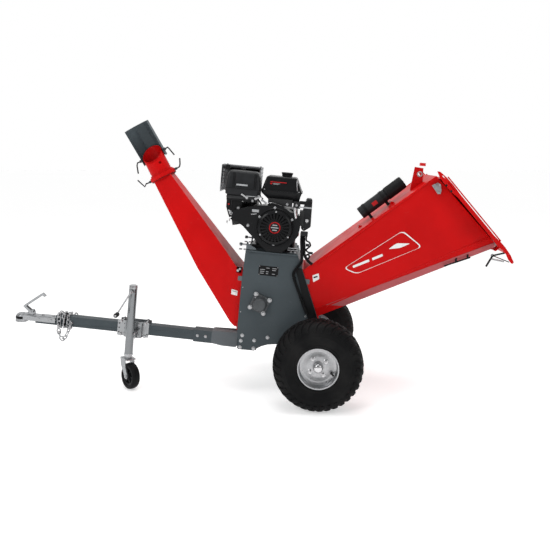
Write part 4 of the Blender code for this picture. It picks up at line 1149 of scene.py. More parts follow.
@dataclass
class Coupler:
    """The ball coupler, its pressed lever and the wound safety chain."""

    machine: Machine
    ball: float = -1.786
    body_end: float = -1.569
    wire: float = 0.0035
    link_long: float = 0.016
    link_wide: float = 0.0092

    def build(self) -> None:
        """Builds the head, the lever and the chain."""
        self.head()
        self.lever()
        self.chain()

    def channel_ring(self, x: float, half: float, top: float, foot: float) -> list[Point]:
        """One section of the pressed channel: an inverted U with soft shoulders.

        Args:
            x: where the section is.
            half: half its width.
            top: the height of its back.
            foot: the height of its open edges.

        Returns:
            The section's points, in order.
        """
        wall = 0.0032
        shoulder = 0.007
        outer = [(-half, foot), (-half, top - shoulder), (-half + shoulder, top), (half - shoulder, top),
                 (half, top - shoulder), (half, foot)]
        inner = [(half - wall, foot), (half - wall, top - shoulder), (half - shoulder, top - wall),
                 (-half + shoulder, top - wall), (-half + wall, top - shoulder), (-half + wall, foot)]
        return [(x, y, z) for y, z in outer + inner]

    def head(self) -> None:
        """The domed ball socket and the channel behind it, with its rivets and bolts."""
        stock = Stock(GALVANISED, PLATED, SOFT_BLACK)
        dome = [(0.0, 0.0), (0.01, -0.0006), (0.02, -0.0035), (0.028, -0.0085), (0.0328, -0.0155),
                (0.0343, -0.024), (0.0345, -0.043), (0.0356, -0.048), (0.0356, -0.052), (0.033, -0.0524),
                (0.0262, -0.049), (0.025, -0.04), (0.0246, -0.024), (0.018, -0.014), (0.0, -0.0085)]
        stock.turned(dome, facing((self.ball, 0, 0), (0, 0, 1)), 40)
        stations = [(-1.775, 0.03, -0.005), (-1.748, 0.029, -0.002), (-1.716, 0.029, -0.004),
                    (-1.69, 0.03, -0.006), (-1.64, 0.031, -0.0035), (self.body_end, 0.031, -0.0035)]
        rings = [self.channel_ring(x, half, top, -0.0375) for x, half, top in stations]
        stock.loft(rings, caps=True)
        for x in (-1.745, -1.711):
            stock.box((x - 0.0015, -0.0165, -0.006), (x + 0.0015, 0.0165, 0.01))
        for side in Side:
            ear = rounded([(-1.746, -0.006), (-1.708, -0.006), (-1.716, 0.022), (-1.738, 0.022)], 0.007)
            stock.plate(ear, side.value * 0.0132, side.value * 0.0165)
        stock.use(PLATED)
        for side in Side:
            stock.bolt((-1.727, side.value * 0.0165, 0.013), (0, side.value, 0), 0.007)
            stock.bolt((-1.672, side.value * 0.0303, -0.02), (0, side.value, 0), 0.0062, washer=False)
            stock.bolt((-1.598, side.value * 0.031, -0.02), (0, side.value, 0), 0.0062, washer=False)
        stock.bolt((-1.655, 0, -0.004), (0, 0, 1), 0.0075)
        stock.bolt((-1.59, 0, -0.004), (0, 0, 1), 0.0075)
        stock.use(SOFT_BLACK)
        band = [(0.034, -0.019), (0.0355, -0.02), (0.0355, -0.033), (0.035, -0.034), (0.034, -0.034)]
        stock.turned(band, facing((self.ball, 0, 0), (0, 0, 1)), 40, closed=True)
        stock.done("coupler_head", "frame", self.machine, edge=0.0008, replaces=["coupler_body"])

    def lever(self) -> None:
        """The raised V of pressed strip with its turned-down lip."""
        stock = Stock(GALVANISED)
        line = [(-1.73, 0.002), (-1.777, 0.04), (-1.7735, 0.048), (-1.666, 0.131), (-1.648, 0.114)]
        below = [(-1.652, 0.109), (-1.664, 0.118), (-1.758, 0.044), (-1.756, 0.04), (-1.713, 0.01)]
        outline = line + below
        for side in Side:
            stock.plate(outline, side.value * 0.0095, side.value * 0.0125)
        centre = [(-1.7262, 0.0035), (-1.776, 0.0405), (-1.7735, 0.048), (-1.666, 0.1325), (-1.6455, 0.114)]
        under = [(-1.6475, 0.1122), (-1.6664, 0.1298), (-1.7715, 0.0468), (-1.773, 0.0412), (-1.7245, 0.0055)]
        stock.plate(centre + under, -0.0122, 0.0122)
        stock.rod((-1.727, -0.0118, 0.013), (-1.727, 0.0118, 0.013), 0.0085, sides=24)
        stock.done("coupler_handle_strip", "coupler_handle", self.machine, edge=0.0007,
                   replaces=["coupler_lever"])

    def chain_route(self) -> list[Vector]:
        """The chain's route: three turns round the drawbar and a hanging bight.

        Returns:
            The route's points, in order.
        """
        points: list[Point] = []
        middle = -0.018
        for i in range(75):
            angle = math.tau * i / 24
            x = -1.556 + 0.088 * i / 74
            power = 0.55
            across = 0.0385 * math.copysign(abs(math.cos(angle)) ** power, math.cos(angle))
            rise = 0.0385 * math.copysign(abs(math.sin(angle)) ** power, math.sin(angle))
            points.append((x, across, middle + rise))
        last = points[-1]
        sag = [(-1.474, -0.05, -0.06), (-1.488, -0.052, -0.1), (-1.505, -0.05, -0.1205),
               (-1.524, -0.05, -0.104), (-1.538, -0.048, -0.062), (-1.546, -0.047, -0.02)]
        return smooth_route([*points, (last[0], -0.046, -0.03), *sag], 3)

    def link(self, stock: Stock, place: Matrix) -> None:
        """One oval link, long along its own X.

        Args:
            stock: the chain's stock.
            place: the link's middle and its turn.
        """
        flat = self.link_long - self.link_wide
        steps = 6
        route = []
        for end in (1, -1):
            for i in range(steps + 1):
                angle = math.radians(-90 + 180 * i / steps)
                x = end * (flat + self.link_wide * math.cos(angle))
                route.append(place @ Vector((x, end * self.link_wide * math.sin(angle), 0)))
        stock.sweep(route, self.wire, sides=6, closed=True)

    def chain(self) -> None:
        """Links set end to end along the route, each turned across its neighbour, and a strap."""
        stock = Stock(PLATED, SOFT_BLACK)
        route = self.chain_route()
        pitch = 2 * (self.link_long - self.wire)
        travelled, count = 0.0, 0
        for here, after in zip(route, route[1:]):
            travelled += (after - here).length
            if travelled < pitch:
                continue
            travelled -= pitch
            ahead = (after - here).normalized()
            turn = ahead.to_track_quat("X", "Z").to_matrix().to_4x4()
            twist = Matrix.Rotation(math.radians(45 + 90 * (count % 2)), 4, "X")
            self.link(stock, Matrix.Translation(here) @ turn @ twist)
            count += 1
        stock.use(SOFT_BLACK)
        section = rounded(oblong(-0.0345, 0.016, 0.0345, -0.052), 0.006)
        inner = [(x * 0.93, -0.018 + (z + 0.018) * 0.93) for x, z in section]
        turn = Matrix.Translation((-1.512, 0, 0)) @ Matrix.Rotation(math.pi / 2, 4, "Z")
        stock.plate(section, -0.009, 0.009, holes=[inner], place=turn)
        stock.done("safety_chain_links", "frame", self.machine, angle=60, replaces=["safety_chain"])


@dataclass
class JackStand:
    """The swing-up jack: clamp, sleeve, leg, crank, caster fork and jockey wheel."""

    machine: Machine
    bar_z: float = -0.018
    plate: float = 0.006

    def __post_init__(self) -> None:
        """Reads the jack's axes from the joints."""
        self.swing = self.machine.joint_at("jack_swing")
        self.crank = self.machine.joint_at("jack_crank_turn")
        self.swivel = self.machine.joint_at("jack_swivel")
        self.jockey = self.machine.joint_at("jockey_spin")
        self.jockey_axis = self.machine.joint_axis("jockey_spin")

    def build(self) -> None:
        """Builds every piece of the jack."""
        self.clamp()
        self.sleeve()
        self.crank_arm()
        self.fork()
        self.jockey_wheel()

    def clamp(self) -> None:
        """Two drilled plates and a channel, bolted through to a back plate."""
        x, z = self.swing.x, self.bar_z
        face = -0.0305
        stock = Stock(GALVANISED, PLATED, SOFT_BLACK)
        parts = (
            ((x - 0.096, x - 0.04), 0.046),
            ((x - 0.052, x + 0.056), 0.04),
            ((x + 0.04, x + 0.092), 0.045),
        )
        for (left, right), half in parts:
            drilled = [hole((left + 0.014, z + rise), 0.0042) for rise in (half * 0.62, -half * 0.62)]
            lift = 0.0032 if half == 0.04 else 0.0
            edge = rounded(oblong(left, z + half, right, z - half), 0.006)
            stock.plate(edge, face - lift, face - lift - 0.004, holes=drilled if half != 0.04 else ())
        stock.use(SOFT_BLACK)
        for at_x in (x - 0.086, x - 0.052, x + 0.046, x + 0.084):
            for height in (-0.026, 0.0, 0.026):
                head = (at_x, face - 0.0046, z + height)
                stock.rod((at_x, face - 0.003, z + height), head, 0.0042, sides=16)
        stock.use(GALVANISED)
        for height in (0.04, -0.044):
            stock.box((x - 0.052, face - 0.018, z + height), (x + 0.056, face - 0.0032, z + height + 0.004))
        back = rounded(oblong(x - 0.096, z + 0.044, x + 0.092, z - 0.044), 0.006)
        stock.plate(back, 0.0305, 0.0345)
        stock.use(PLATED)
        for at_x in (x - 0.074, x + 0.07):
            for height in (-0.038, 0.038):
                stock.bolt((at_x, face - 0.004, z + height), NEARWARD, 0.0082)
                stock.rod((at_x, face, z + height), (at_x, 0.045, z + height), 0.0048, sides=12)
                stock.bolt((at_x, 0.0345, z + height), FARWARD, 0.0082)
        boss = [(0, 0), (0.026, 0), (0.026, 0.012), (0.024, 0.014), (0, 0.014)]
        stock.turned(boss, facing((x, face - 0.004, z), NEARWARD), 32)
        stock.done("jack_clamp_plates", "frame", self.machine, edge=0.0006, replaces=["jack_clamp"])

    def sleeve(self) -> None:
        """Dresses the sleeve and leg, and adds the top cap and the lock pin."""
        self.machine.carry("jack_outer_tube", TUBE, 0.0008)
        self.machine.carry("jack_inner_tube", PLATED, 0.0006)
        low, high = self.machine.box("jack_outer_tube")
        x, y = self.swivel.x, self.swivel.y
        stock = Stock(PLATED)
        cap = [(0, high.z + 0.003), (0.019, high.z + 0.0026), (0.0232, high.z), (0.0248, high.z - 0.004),
               (0.0248, high.z - 0.016), (0.024, high.z - 0.0165)]
        stock.turned(cap, Matrix.Translation((x, y, 0)), 40)
        ring = [(0.024, low.z + 0.012), (0.0256, low.z + 0.011), (0.0256, low.z + 0.001), (0.0215, low.z)]
        stock.turned(ring, Matrix.Translation((x, y, 0)), 40)
        for dx in (-0.03, 0.036):
            for dz in (-0.032, 0.034):
                stock.bolt((x + dx, self.swing.y - 0.005, self.bar_z + dz), NEARWARD, 0.0062)
        stock.rod((x + 0.03, y - 0.006, -0.02), (x + 0.03, self.swing.y - 0.004, -0.02), 0.0042, sides=12)
        tail = [(x + 0.03, y - 0.004, -0.02), (x + 0.03, y - 0.014, -0.02),
                (x + 0.034, y - 0.018, -0.034), (x + 0.036, y - 0.016, -0.05)]
        stock.sweep(smooth_route(tail, 4), 0.0024, 8)
        stock.done("jack_sleeve_fittings", "jack_sleeve", self.machine, edge=0.0)

    def crank_arm(self) -> None:
        """The bent rod with its collar, and the round black grip on its end."""
        x, y, z = self.crank
        end = Vector((x - 0.062, y - 0.0235, z - 0.119))
        tip = Vector((x - 0.067, y - 0.0255, z - 0.129))
        stock = Stock(PLATED, SOFT_BLACK)
        route = smooth_route([(x, y, z), (x, y - 0.013, z), (x - 0.0015, y - 0.019, z - 0.003),
                              (x - 0.008, y - 0.0205, z - 0.016), tuple(end), tuple(tip)], 5)
        stock.sweep(route, 0.0044, 12)
        boss = oblong(0, 0, 0.0095, 0.008)
        stock.turned(boss, facing((x, y + 0.0005, z), NEARWARD), 20)
        stock.rod(tip, tip + Vector((0, -0.03, -0.003)), 0.004, sides=12)
        stock.use(SOFT_BLACK)
        grip = [(0.0045, 0.006), (0.012, 0.006), (0.0135, 0.002), (0.012, -0.006), (0.0128, -0.016),
                (0.0136, -0.026), (0.0115, -0.0325), (0.0, -0.0335)]
        end_face = facing(tip + Vector((0, 0.002, -0.003)), NEARWARD)
        stock.turned([(r, -h) for r, h in grip], end_face, 28)
        stock.use(PLATED)
        stock.turned(oblong(0, 0.033, 0.0058, 0.0343), end_face, 20)
        stock.done("jack_crank_rod", "jack_handle", self.machine, edge=0.0, replaces=["jack_crank"])

    def fork(self) -> None:
        """Dresses the caster fork and adds its thrust washer and axle nut."""
        self.machine.carry("jack_fork", GALVANISED, 0.001)
        stock = Stock(PLATED)
        washer = [(0.0, 0.0048), (0.027, 0.0048), (0.0275, 0.0056), (0.0275, 0.007), (0.0205, 0.0076),
                  (0.0, 0.0076)]
        stock.turned(washer, Matrix.Translation(self.swivel), 36)
        for sign in (-1, 1):
            at = self.jockey + self.jockey_axis * (sign * 0.0312)
            stock.bolt(at, self.jockey_axis * sign, 0.008)
        stock.done("jack_fork_fittings", "jack_caster", self.machine, edge=0.0)

    def jockey_wheel(self) -> None:
        """The solid tyre with a grooved tread on a ribbed hub."""
        place = facing(self.jockey, self.jockey_axis)
        half = [(0.049, 0.0172), (0.053, 0.0225), (0.057, 0.0238), (0.064, 0.0228), (0.069, 0.0205),
                (0.0722, 0.0168), (0.0738, 0.012), (0.0728, 0.01), (0.0728, 0.0082), (0.0742, 0.0062),
                (0.0745, 0.0)]
        tread = half + [(r, -h) for r, h in reversed(half[:-1])]
        stock = Stock(JOCKEY, PLASTIC)
        stock.turned(tread + [(0.048, -0.01), (0.048, 0.01)], place, 64, closed=True)
        stock.use(PLASTIC)
        hub = [(0.0062, 0.024), (0.017, 0.024), (0.0185, 0.022), (0.019, 0.006), (0.043, 0.006),
               (0.044, 0.0165), (0.05, 0.0178), (0.05, -0.0178), (0.044, -0.0165), (0.043, -0.006),
               (0.019, -0.006), (0.0185, -0.022), (0.017, -0.024), (0.0062, -0.024)]
        stock.turned(hub, place, 48, closed=True)
        for i in range(6):
            turn = place @ Matrix.Rotation(math.tau * i / 6, 4, "Z")
            stock.box((0.017, -0.0022, -0.015), (0.0445, 0.0022, 0.015), turn)
        stock.done("jockey_wheel_solid", "jockey", self.machine, edge=0.0, replaces=["jack_wheel"])


# ------------------------------------------------------------------ rotor housing and drive


@dataclass
class Housing:
    """The steel case of the rotor: side plates, wraps, deck, bearings and plate bolts."""

    machine: Machine
    outer: float = 0.17
    thick: float = 0.006
    frame_bolts: tuple[Spot, ...] = ((-0.431, 0.056), (-0.436, 0.024), (-0.361, 0.034), (-0.287, 0.059),
                                     (-0.438, -0.013), (-0.361, -0.012), (-0.086, 0.201))
    rotor: Spot = (-0.348, 0.25)

    def build(self) -> None:
        """Builds the plates and dresses the rest."""
        for side in Side:
            self.side_plate(side)
            self.bearing(side)
        self.machine.carry("housing_wrap", SLATE, 0.001)
        self.machine.carry("rear_wall", SLATE, 0.001)
        self.machine.carry("engine_deck", SLATE, 0.0012)
        self.rating_plate()
        self.deck_bolts()

    def outline(self) -> list[Spot]:
        """The side plate's edge, with its swept foot over the axle.

        Returns:
            The edge's points, in order.
        """
        top, foot, slope = 0.5385, 0.0303, 0.4155
        corners = [(-0.455, top), (-0.462, 0.353), (-0.463, 0.083), (-0.448, -0.026), (-0.357, -0.0245)]
        sweep = [(-0.342, -0.01), (-0.318, 0.005), (-0.285, 0.018), (-0.242, 0.025), (-0.16, foot)]
        heel = (-0.16 + (top - foot) * slope, foot)
        return [*corners, *sweep, heel, (-0.16, top)]

    def side_plate(self, side: Side) -> None:
        """A side plate with its tabs, bolts and a black strip along its back edge, which is mainly painted
        shade of the recess there.

        Args:
            side: which side it is on.
        """
        sign = side.value
        stock = Stock(SLATE, PLATED, SLATE_PALE, SOFT_BLACK)
        shaft = hole(self.rotor, 0.026, 24)
        stock.plate(self.outline(), sign * self.outer, sign * (self.outer - self.thick), holes=[shaft])
        stock.use(SLATE_PALE)
        for low, high in (((-0.4845, 0.366), (-0.456, 0.392)), ((-0.129, 0.385), (-0.0825, 0.412))):
            tab = rounded([low, (high[0], low[1]), high, (low[0], high[1])], 0.004)
            stock.plate(tab, sign * (self.outer - 0.001), sign * (self.outer - 0.0045))
        stock.use(PLATED)
        for x, z in self.frame_bolts:
            size = 0.005 if z > 0.15 else 0.008
            stock.bolt((x, sign * self.outer, z), (0, sign, 0), size)
        for x, z in ((-0.452, 0.33), (-0.452, 0.19)):
            stock.screw((x, sign * self.outer, z), (0, sign, 0), 0.003)
        # Painted shade: the black strip along the back edge stands mainly for the shaded recess between the
        # side plate and the hopper's flange.
        stock.use(SOFT_BLACK)
        shield = rounded([(-0.169, 0.47), (-0.134, 0.47), (-0.016, 0.186), (-0.07, 0.186)], 0.006)
        stock.plate(shield, sign * self.outer, sign * (self.outer + 0.004))
        name = "side_plate_bolted_" + side.word
        stock.done(name, "frame", self.machine, edge=0.0008, replaces=["side_plate_" + side.word])

    def bearing(self, side: Side) -> None:
        """A flanged bearing: square flange on its corner, domed cap, grease nipple and four bolts.

        Args:
            side: which side it is on.
        """
        sign = side.value
        base = facing((self.rotor[0], sign * (self.outer + 0.0003), self.rotor[1]), (0, sign, 0))
        stock = Stock(IRON, PLATED)
        corners = oblong(0.049, 0.049, -0.049, -0.049)
        ring_rise = 0.046 if side is Side.NEAR else 0.026
        turn = base @ Matrix.Rotation(math.radians(70), 4, "Z")
        flat = Matrix.Rotation(-math.pi / 2, 4, "X")
        stock.plate(rounded(corners, 0.026, 6), 0.0, -0.0125, place=turn @ flat)
        hub = [(0.0, 0.01), (0.042, 0.01), (0.042, 0.018), (0.04, 0.02), (0.0385, 0.024)]
        crown = [(0.037, ring_rise - 0.007), (0.0345, ring_rise - 0.002), (0.031, ring_rise)]
        if side is Side.NEAR:
            stock.turned([*hub, *crown, (0.015, ring_rise), (0.0, ring_rise)], base, 48)
        else:
            stock.turned([*hub, *crown, (0.0185, ring_rise), (0.0185, 0.01)], base, 48)
        stock.use(PLATED)
        for i in range(4):
            angle = math.radians(25 + 90 * i)
            spot = base @ Vector((0.0585 * math.cos(angle), 0.0585 * math.sin(angle), 0.0125))
            stock.bolt(spot, (0, sign, 0), 0.0098)
        nipple = base @ Vector((0.039 * math.cos(2.2), 0.039 * math.sin(2.2), 0.02))
        outward = base.to_3x3() @ Vector((math.cos(2.2), math.sin(2.2), 0.9))
        stock.turned([(0, 0), (0.004, 0), (0.004, 0.004), (0.0026, 0.006), (0.0034, 0.009), (0, 0.0105)],
                     facing(nipple, outward), 12)
        name = "bearing_flanged_" + side.word
        stock.done(name, "frame", self.machine, edge=0.0008, replaces=["bearing_" + side.word])

    def rating_plate(self) -> None:
        """A riveted plate with plain raised bars in place of its print."""
        face = -self.outer
        stock = Stock(DARK_INK, SILVER_INK, PLATED)
        left, right, low, high = -0.372, -0.262, 0.41, 0.464
        border = rounded(oblong(left, low, right, high), 0.004)
        stock.plate(border, face, face - 0.0012)
        stock.use(SILVER_INK)
        for row in range(4):
            z = low + 0.01 + row * 0.0105
            for column, width in enumerate((0.03, 0.018, 0.024)):
                if (row + column) % 4 == 3:
                    continue
                x = left + 0.008 + column * 0.034
                stock.box((x, face - 0.0015, z), (x + width * (0.7 + 0.1 * row), face - 0.001, z + 0.0032))
        stock.use(PLATED)
        for x in (left + 0.004, right - 0.004):
            for z in (low + 0.004, high - 0.004):
                stock.screw((x, face - 0.001, z), NEARWARD, 0.0022)
        stock.done("rating_plate", "frame", self.machine)

    def deck_bolts(self) -> None:
        """The engine's foot rails, stand-off studs and bolts on the deck's two ends."""
        stock = Stock(PLATED, SLATE_PALE)
        stock.use(SLATE_PALE)
        for side in Side:
            y = side.value * 0.15
            stock.box((-0.45, y - 0.018, 0.5462), (-0.395, y + 0.018, 0.55))
            stock.box((-0.222, y - 0.018, 0.5462), (-0.166, y + 0.018, 0.55))
        stock.use(PLATED)
        for side in Side:
            y = side.value * 0.15
            stock.bolt((-0.488, y, 0.57), (-1, 0, 0), 0.0085)
            stock.rod((-0.478, y, 0.57), (-0.446, y, 0.57), 0.005, sides=12)
            stock.bolt((-0.447, y, 0.57), (1, 0, 0), 0.008, washer=False)
            for x in (-0.478, -0.452):
                stock.rod((x, y + 0.014, 0.54), (x - 0.018, y + 0.014, 0.54), 0.0045, sides=12)
            for x in (-0.43, -0.205, -0.182):
                stock.bolt((x, y, 0.55), (0, 0, 1), 0.0085)
        for z in (0.566, 0.578):
            stock.rod((-0.222, -0.168, z), (-0.166, -0.168, z), 0.0034, sides=12)
        stock.done("deck_fixings", "frame", self.machine, edge=0.0)


@dataclass
class RotorDrive:
    """The rotor, its knives, the belt drive and the guard over it."""

    machine: Machine

    def build(self) -> None:
        """Dresses the drive and adds the guard's ribs and bolts."""
        carry = self.machine.carry
        carry("rotor_shaft", BRIGHT)
        carry("rotor_drum", IRON, 0.001)
        for name in ("knife_1", "knife_2", "anvil"):
            carry(name, BRIGHT, 0.0004)
        carry("rotor_pulley", IRON, 0.0008)
        carry("crankshaft", IRON, 0.0008)
        carry("drive_belt", BELT, 0.001, 60)
        carry("belt_guard", SLATE, 0.003)
        self.guard_details()

    def guard_details(self) -> None:
        """Louvres and the guard's bolts."""
        low, high = self.machine.box("belt_guard")
        stock = Stock(SLATE_PALE, PLATED)
        middle = (low.x + high.x) / 2
        for i in range(6):
            z = 0.395 + i * 0.03
            x = middle + (z - 0.45) * 0.1
            rings = [
                [(x - half, high.y - 0.0005, z - 0.008), (x + half, high.y - 0.0005, z - 0.008),
                 (x + half, high.y + out, z + 0.007), (x - half, high.y + out, z + 0.007)]
                for half, out in ((0.036, 0.0005), (0.036 * 0.92, 0.006))
            ]
            stock.loft(rings)
        stock.use(PLATED)
        for height in (0.33, 0.48):
            x = -0.348 + (height - 0.25) * 0.1
            for offset in (-0.098, 0.098):
                stock.bolt((x + offset, 0.21, height), FARWARD, 0.0075)
        stock.bolt((-0.348, high.y, 0.25), FARWARD, 0.009)
        stock.bolt((-0.302, high.y, 0.689), FARWARD, 0.009)
        stock.done("belt_guard_fittings", "frame", self.machine, edge=0.0)


# ------------------------------------------------------------------ engine


@dataclass
class Engine:
    """The engine's case, its blower shroud, recoil starter, intake and controls."""

    machine: Machine
    crank: Spot = (-0.302, 0.689)
    face: float = -0.2003
    grip_at: Spot = (-0.1985, 0.781)
    slots: int = 24

    def build(self) -> None:
        """Builds the engine from the case outwards."""
        self.case()
        self.shroud()
        self.recoil()
        self.grip()
        self.air_cleaner()
        self.linkage()
        self.control_panel()
        self.dipstick()

    def case(self) -> None:
        """Dresses the castings and adds cooling fins, cover bolts, plug cap and hoses."""
        self.machine.carry("engine_block", ALLOY, 0.002)
        self.machine.carry("cylinder_head", ALLOY, 0.002)
        self.machine.carry("carburettor", ALLOY, 0.0012)
        low, high = self.machine.box("cylinder_head")
        stock = Stock(ALLOY, PLATED, SOFT_BLACK, RED_PLASTIC)
        for i in range(7):
            x = high.x - 0.008 - i * 0.0105
            near = (x - 0.0014, low.y - 0.008, low.z + 0.004)
            stock.box(near, (x + 0.0014, high.y + 0.006, high.z - 0.004))
        stock.use(PLATED)
        for y in (low.y + 0.014, high.y - 0.014):
            for z in (low.z + 0.016, high.z - 0.016):
                stock.bolt((low.x, y, z), (-1, 0, 0), 0.0075)
        for z in (0.739, 0.73):
            stock.rod((-0.562, -0.128, z), (-0.522, -0.128, z), 0.0036, sides=12)
            stock.bolt((-0.562, -0.128, z), (-1, 0, 0), 0.0058, washer=False)
        stock.rod((-0.56, -0.125, 0.705), (-0.53, -0.125, 0.705), 0.0048, sides=12)
        stock.use(SOFT_BLACK)
        boot = smooth_route([(-0.508, -0.128, 0.752), (-0.509, -0.131, 0.768), (-0.5, -0.128, 0.78),
                             (-0.486, -0.118, 0.786), (-0.47, -0.1, 0.786)], 5)
        stock.sweep(boot, lambda along: 0.0092 if along < 0.026 else 0.004, 14)
        for route in (
            [(-0.583, -0.06, 0.812), (-0.592, -0.086, 0.78), (-0.58, -0.104, 0.742), (-0.566, -0.11, 0.712)],
            [(-0.545, -0.13, 0.815), (-0.553, -0.15, 0.798), (-0.545, -0.15, 0.775), (-0.528, -0.132, 0.762)],
            [(-0.43, -0.15, 0.818), (-0.415, -0.172, 0.832), (-0.402, -0.172, 0.822), (-0.392, -0.16, 0.806)],
        ):
            stock.sweep(smooth_route(route, 6), 0.0042, 12)
        stock.use(RED_PLASTIC)
        stock.rod((-0.5655, -0.124, 0.809), (-0.5595, -0.124, 0.809), 0.0048, sides=16)
        stock.done("engine_fittings", "frame", self.machine, edge=0.0005)
        self.heat_shield()

    def heat_shield(self) -> None:
        """The black shield beside the carburettor, its knob and springs, and the tank's stay."""
        stock = Stock(SOFT_BLACK, ALLOY, PLATED, RED_PLASTIC)
        left, right, foot, head = -0.586, -0.5, 0.733, 0.844
        corners = [(left, head), (right, head), (right, foot + 0.01), (left + 0.05, foot), (left, 0.77)]
        panel = rounded(corners, 0.006)
        stock.plate(panel, -0.156, -0.164)
        for x in (left + 0.014, left + 0.028):
            stock.rod((x, -0.166, 0.774), (x, -0.166, head - 0.004), 0.0042, sides=12)
        stock.box((-0.54, -0.156, 0.696), (-0.472, -0.13, 0.742))
        stock.use(ALLOY)
        centre = (-0.516, -0.164, 0.772)
        stock.turned([(0.0, 0.0), (0.015, 0.0), (0.015, 0.006), (0.012, 0.009), (0.0, 0.009)],
                     facing(centre, NEARWARD), 28)
        stock.box((-0.485, -0.174, 0.818), (-0.418, -0.15, 0.836))
        stock.box((-0.356, -0.16, 0.806), (-0.22, -0.09, 0.844))
        stock.box((-0.214, -0.16, 0.8), (-0.174, -0.09, 0.838))
        stock.box((-0.174, -0.164, 0.705), (-0.148, -0.09, 0.79))
        stock.use(PLATED)
        stock.turned(oblong(0, 0.0085, 0.0075, 0.013), facing(centre, NEARWARD), 20)
        for x, z in ((-0.56, 0.748), (-0.544, 0.74), (-0.534, 0.716), (-0.444, 0.827), (-0.248, 0.818),
                     (-0.196, 0.818)):
            stock.bolt((x, -0.164, z), NEARWARD, 0.0056)
        stock.use(RED_PLASTIC)
        stock.rod((-0.572, -0.164, 0.79), (-0.572, -0.17, 0.79), 0.0046, sides=14)
        stock.done("carburettor_shield", "frame", self.machine, edge=0.0005)

    def shroud(self) -> None:
        """Dresses the pressed cover and adds its raised rib, screws, badge and bracket."""
        self.machine.carry("blower_shroud", BLACK, 0.004, 40)
        face = -0.2
        stock = Stock(BLACK, PLATED, SILVER_INK, SLATE_PALE)
        ring = [(0.0985, 0.0), (0.101, 0.0025), (0.1035, 0.0025), (0.106, 0.0), (0.106, -0.002),
                (0.0985, -0.002)]
        stock.turned(ring, facing((self.crank[0], face, self.crank[1]), NEARWARD), 72, closed=True)
        stock.rod((-0.44, face, 0.748), (-0.41, face, 0.753), 0.0022, sides=10)
        stock.use(PLATED)
        for x, z in ((-0.391, 0.739), (-0.213, 0.739), (-0.302, 0.593), (-0.452, 0.685), (-0.312, 0.795)):
            stock.bolt((x, face, z), NEARWARD, 0.0062)
        stock.use(SILVER_INK)
        badge = rounded(oblong(-0.436, 0.762, -0.398, 0.777), 0.003)
        stock.plate(badge, face, face - 0.0014)
        stock.use(SLATE_PALE)
        bracket = rounded([(-0.452, 0.55), (-0.398, 0.55), (-0.398, 0.56), (-0.452, 0.583)], 0.004)
        stock.plate(bracket, -0.18, -0.184)
        stock.done("shroud_fittings", "frame", self.machine)

    def recoil(self) -> None:
        """The recoil starter: a ring, a slotted disc with fine ribs and a plain red mark."""
        face = facing((self.crank[0], self.face, self.crank[1]), NEARWARD)
        stock = Stock(BLACK, PLATED, RED_INK, SILVER_INK)
        shell = [(0.082, 0.0), (0.0955, 0.0), (0.0965, 0.006), (0.095, 0.02), (0.092, 0.0275),
                 (0.085, 0.0315), (0.079, 0.0325), (0.0775, 0.029), (0.079, 0.01)]
        stock.turned(shell, face, 96, closed=True)
        dish = [(0.0, 0.0235), (0.033, 0.0235), (0.0345, 0.0318), (0.0395, 0.033), (0.041, 0.03),
                (0.044, 0.03), (0.045, 0.024), (0.079, 0.02), (0.079, 0.015), (0.0, 0.015)]
        stock.turned(dish, face, 72)
        for i in range(self.slots):
            angle = math.tau * (i + 0.5) / self.slots
            rings = []
            foot = Vector((0, 0, 0.018))
            sections = ((0.043, 0.0034, 0.0315), (0.06, 0.0042, 0.033), (0.0785, 0.005, 0.0325))
            for radius, half, rise in sections:
                middle = Vector((radius * math.cos(angle), radius * math.sin(angle), 0))
                across = Vector((-math.sin(angle), math.cos(angle), 0)) * half
                crest = Vector((0, 0, rise))
                rings.append([middle - across + foot, middle + across + foot,
                              middle + across * 0.78 + crest, middle - across * 0.78 + crest])
            stock.loft([[face @ p for p in ring] for ring in rings])
        for radius in (0.053, 0.0655):
            rib = [(radius - 0.0008, 0.018), (radius - 0.0008, 0.0275), (radius + 0.0008, 0.0275),
                   (radius + 0.0008, 0.018)]
            stock.turned(rib, face, 96, closed=True)
        stock.use(PLATED)
        for i in range(3):
            angle = math.radians(90 + 120 * i)
            spot = face @ Vector((0.0885 * math.cos(angle), 0.0885 * math.sin(angle), 0.029))
            stock.bolt(spot, NEARWARD, 0.0052, washer=False)
        stock.use(BLACK)
        stock.turned(oblong(0, 0.0232, 0.0325, 0.0244), face, 48)
        stock.use(RED_INK)
        stock.turned(oblong(0.0262, 0.0236, 0.0322, 0.0252), face, 48, closed=True)
        stock.use(SILVER_INK)
        for rise, half in ((0.0135, 0.013), (0.0, 0.0205), (-0.0135, 0.013)):
            stock.box((self.crank[0] - half, self.face - 0.0254, self.crank[1] + rise - 0.003),
                      (self.crank[0] + half, self.face - 0.024, self.crank[1] + rise + 0.003))
        stock.done("recoil_starter", "frame", self.machine, edge=0.0005, replaces=["recoil_cover"])

    def grip(self) -> None:
        """The bright T grip with its stem and boss."""
        middle = Vector((self.grip_at[0], -0.222, self.grip_at[1]))
        stock = Stock(BRIGHT, SOFT_BLACK)
        lean = Matrix.Translation(middle) @ Matrix.Rotation(math.radians(-14), 4, "Y")
        bar = [(-0.03, 0.005), (-0.024, 0.0066), (-0.01, 0.0072), (0.01, 0.0072), (0.024, 0.0066),
               (0.03, 0.005)]
        profile = [(0.0, bar[0][0])] + [(r, h) for h, r in bar] + [(0.0, bar[-1][0])]
        stock.turned(profile, lean, 28)
        for height in (-0.016, 0.016):
            ring = [(0.0066, height - 0.002), (0.0079, height - 0.001), (0.0079, height + 0.001),
                    (0.0066, height + 0.002)]
            stock.turned(ring, lean, 28, closed=True)
        stock.use(SOFT_BLACK)
        stem = [lean @ Vector((x, 0, 0)) for x in (-0.03, -0.018, 0.0)]
        stock.sweep(stem, lambda along: 0.005 if along < 0.011 else 0.003, 14)
        stock.done("recoil_handle", "starter_grip", self.machine, replaces=["recoil_grip"])

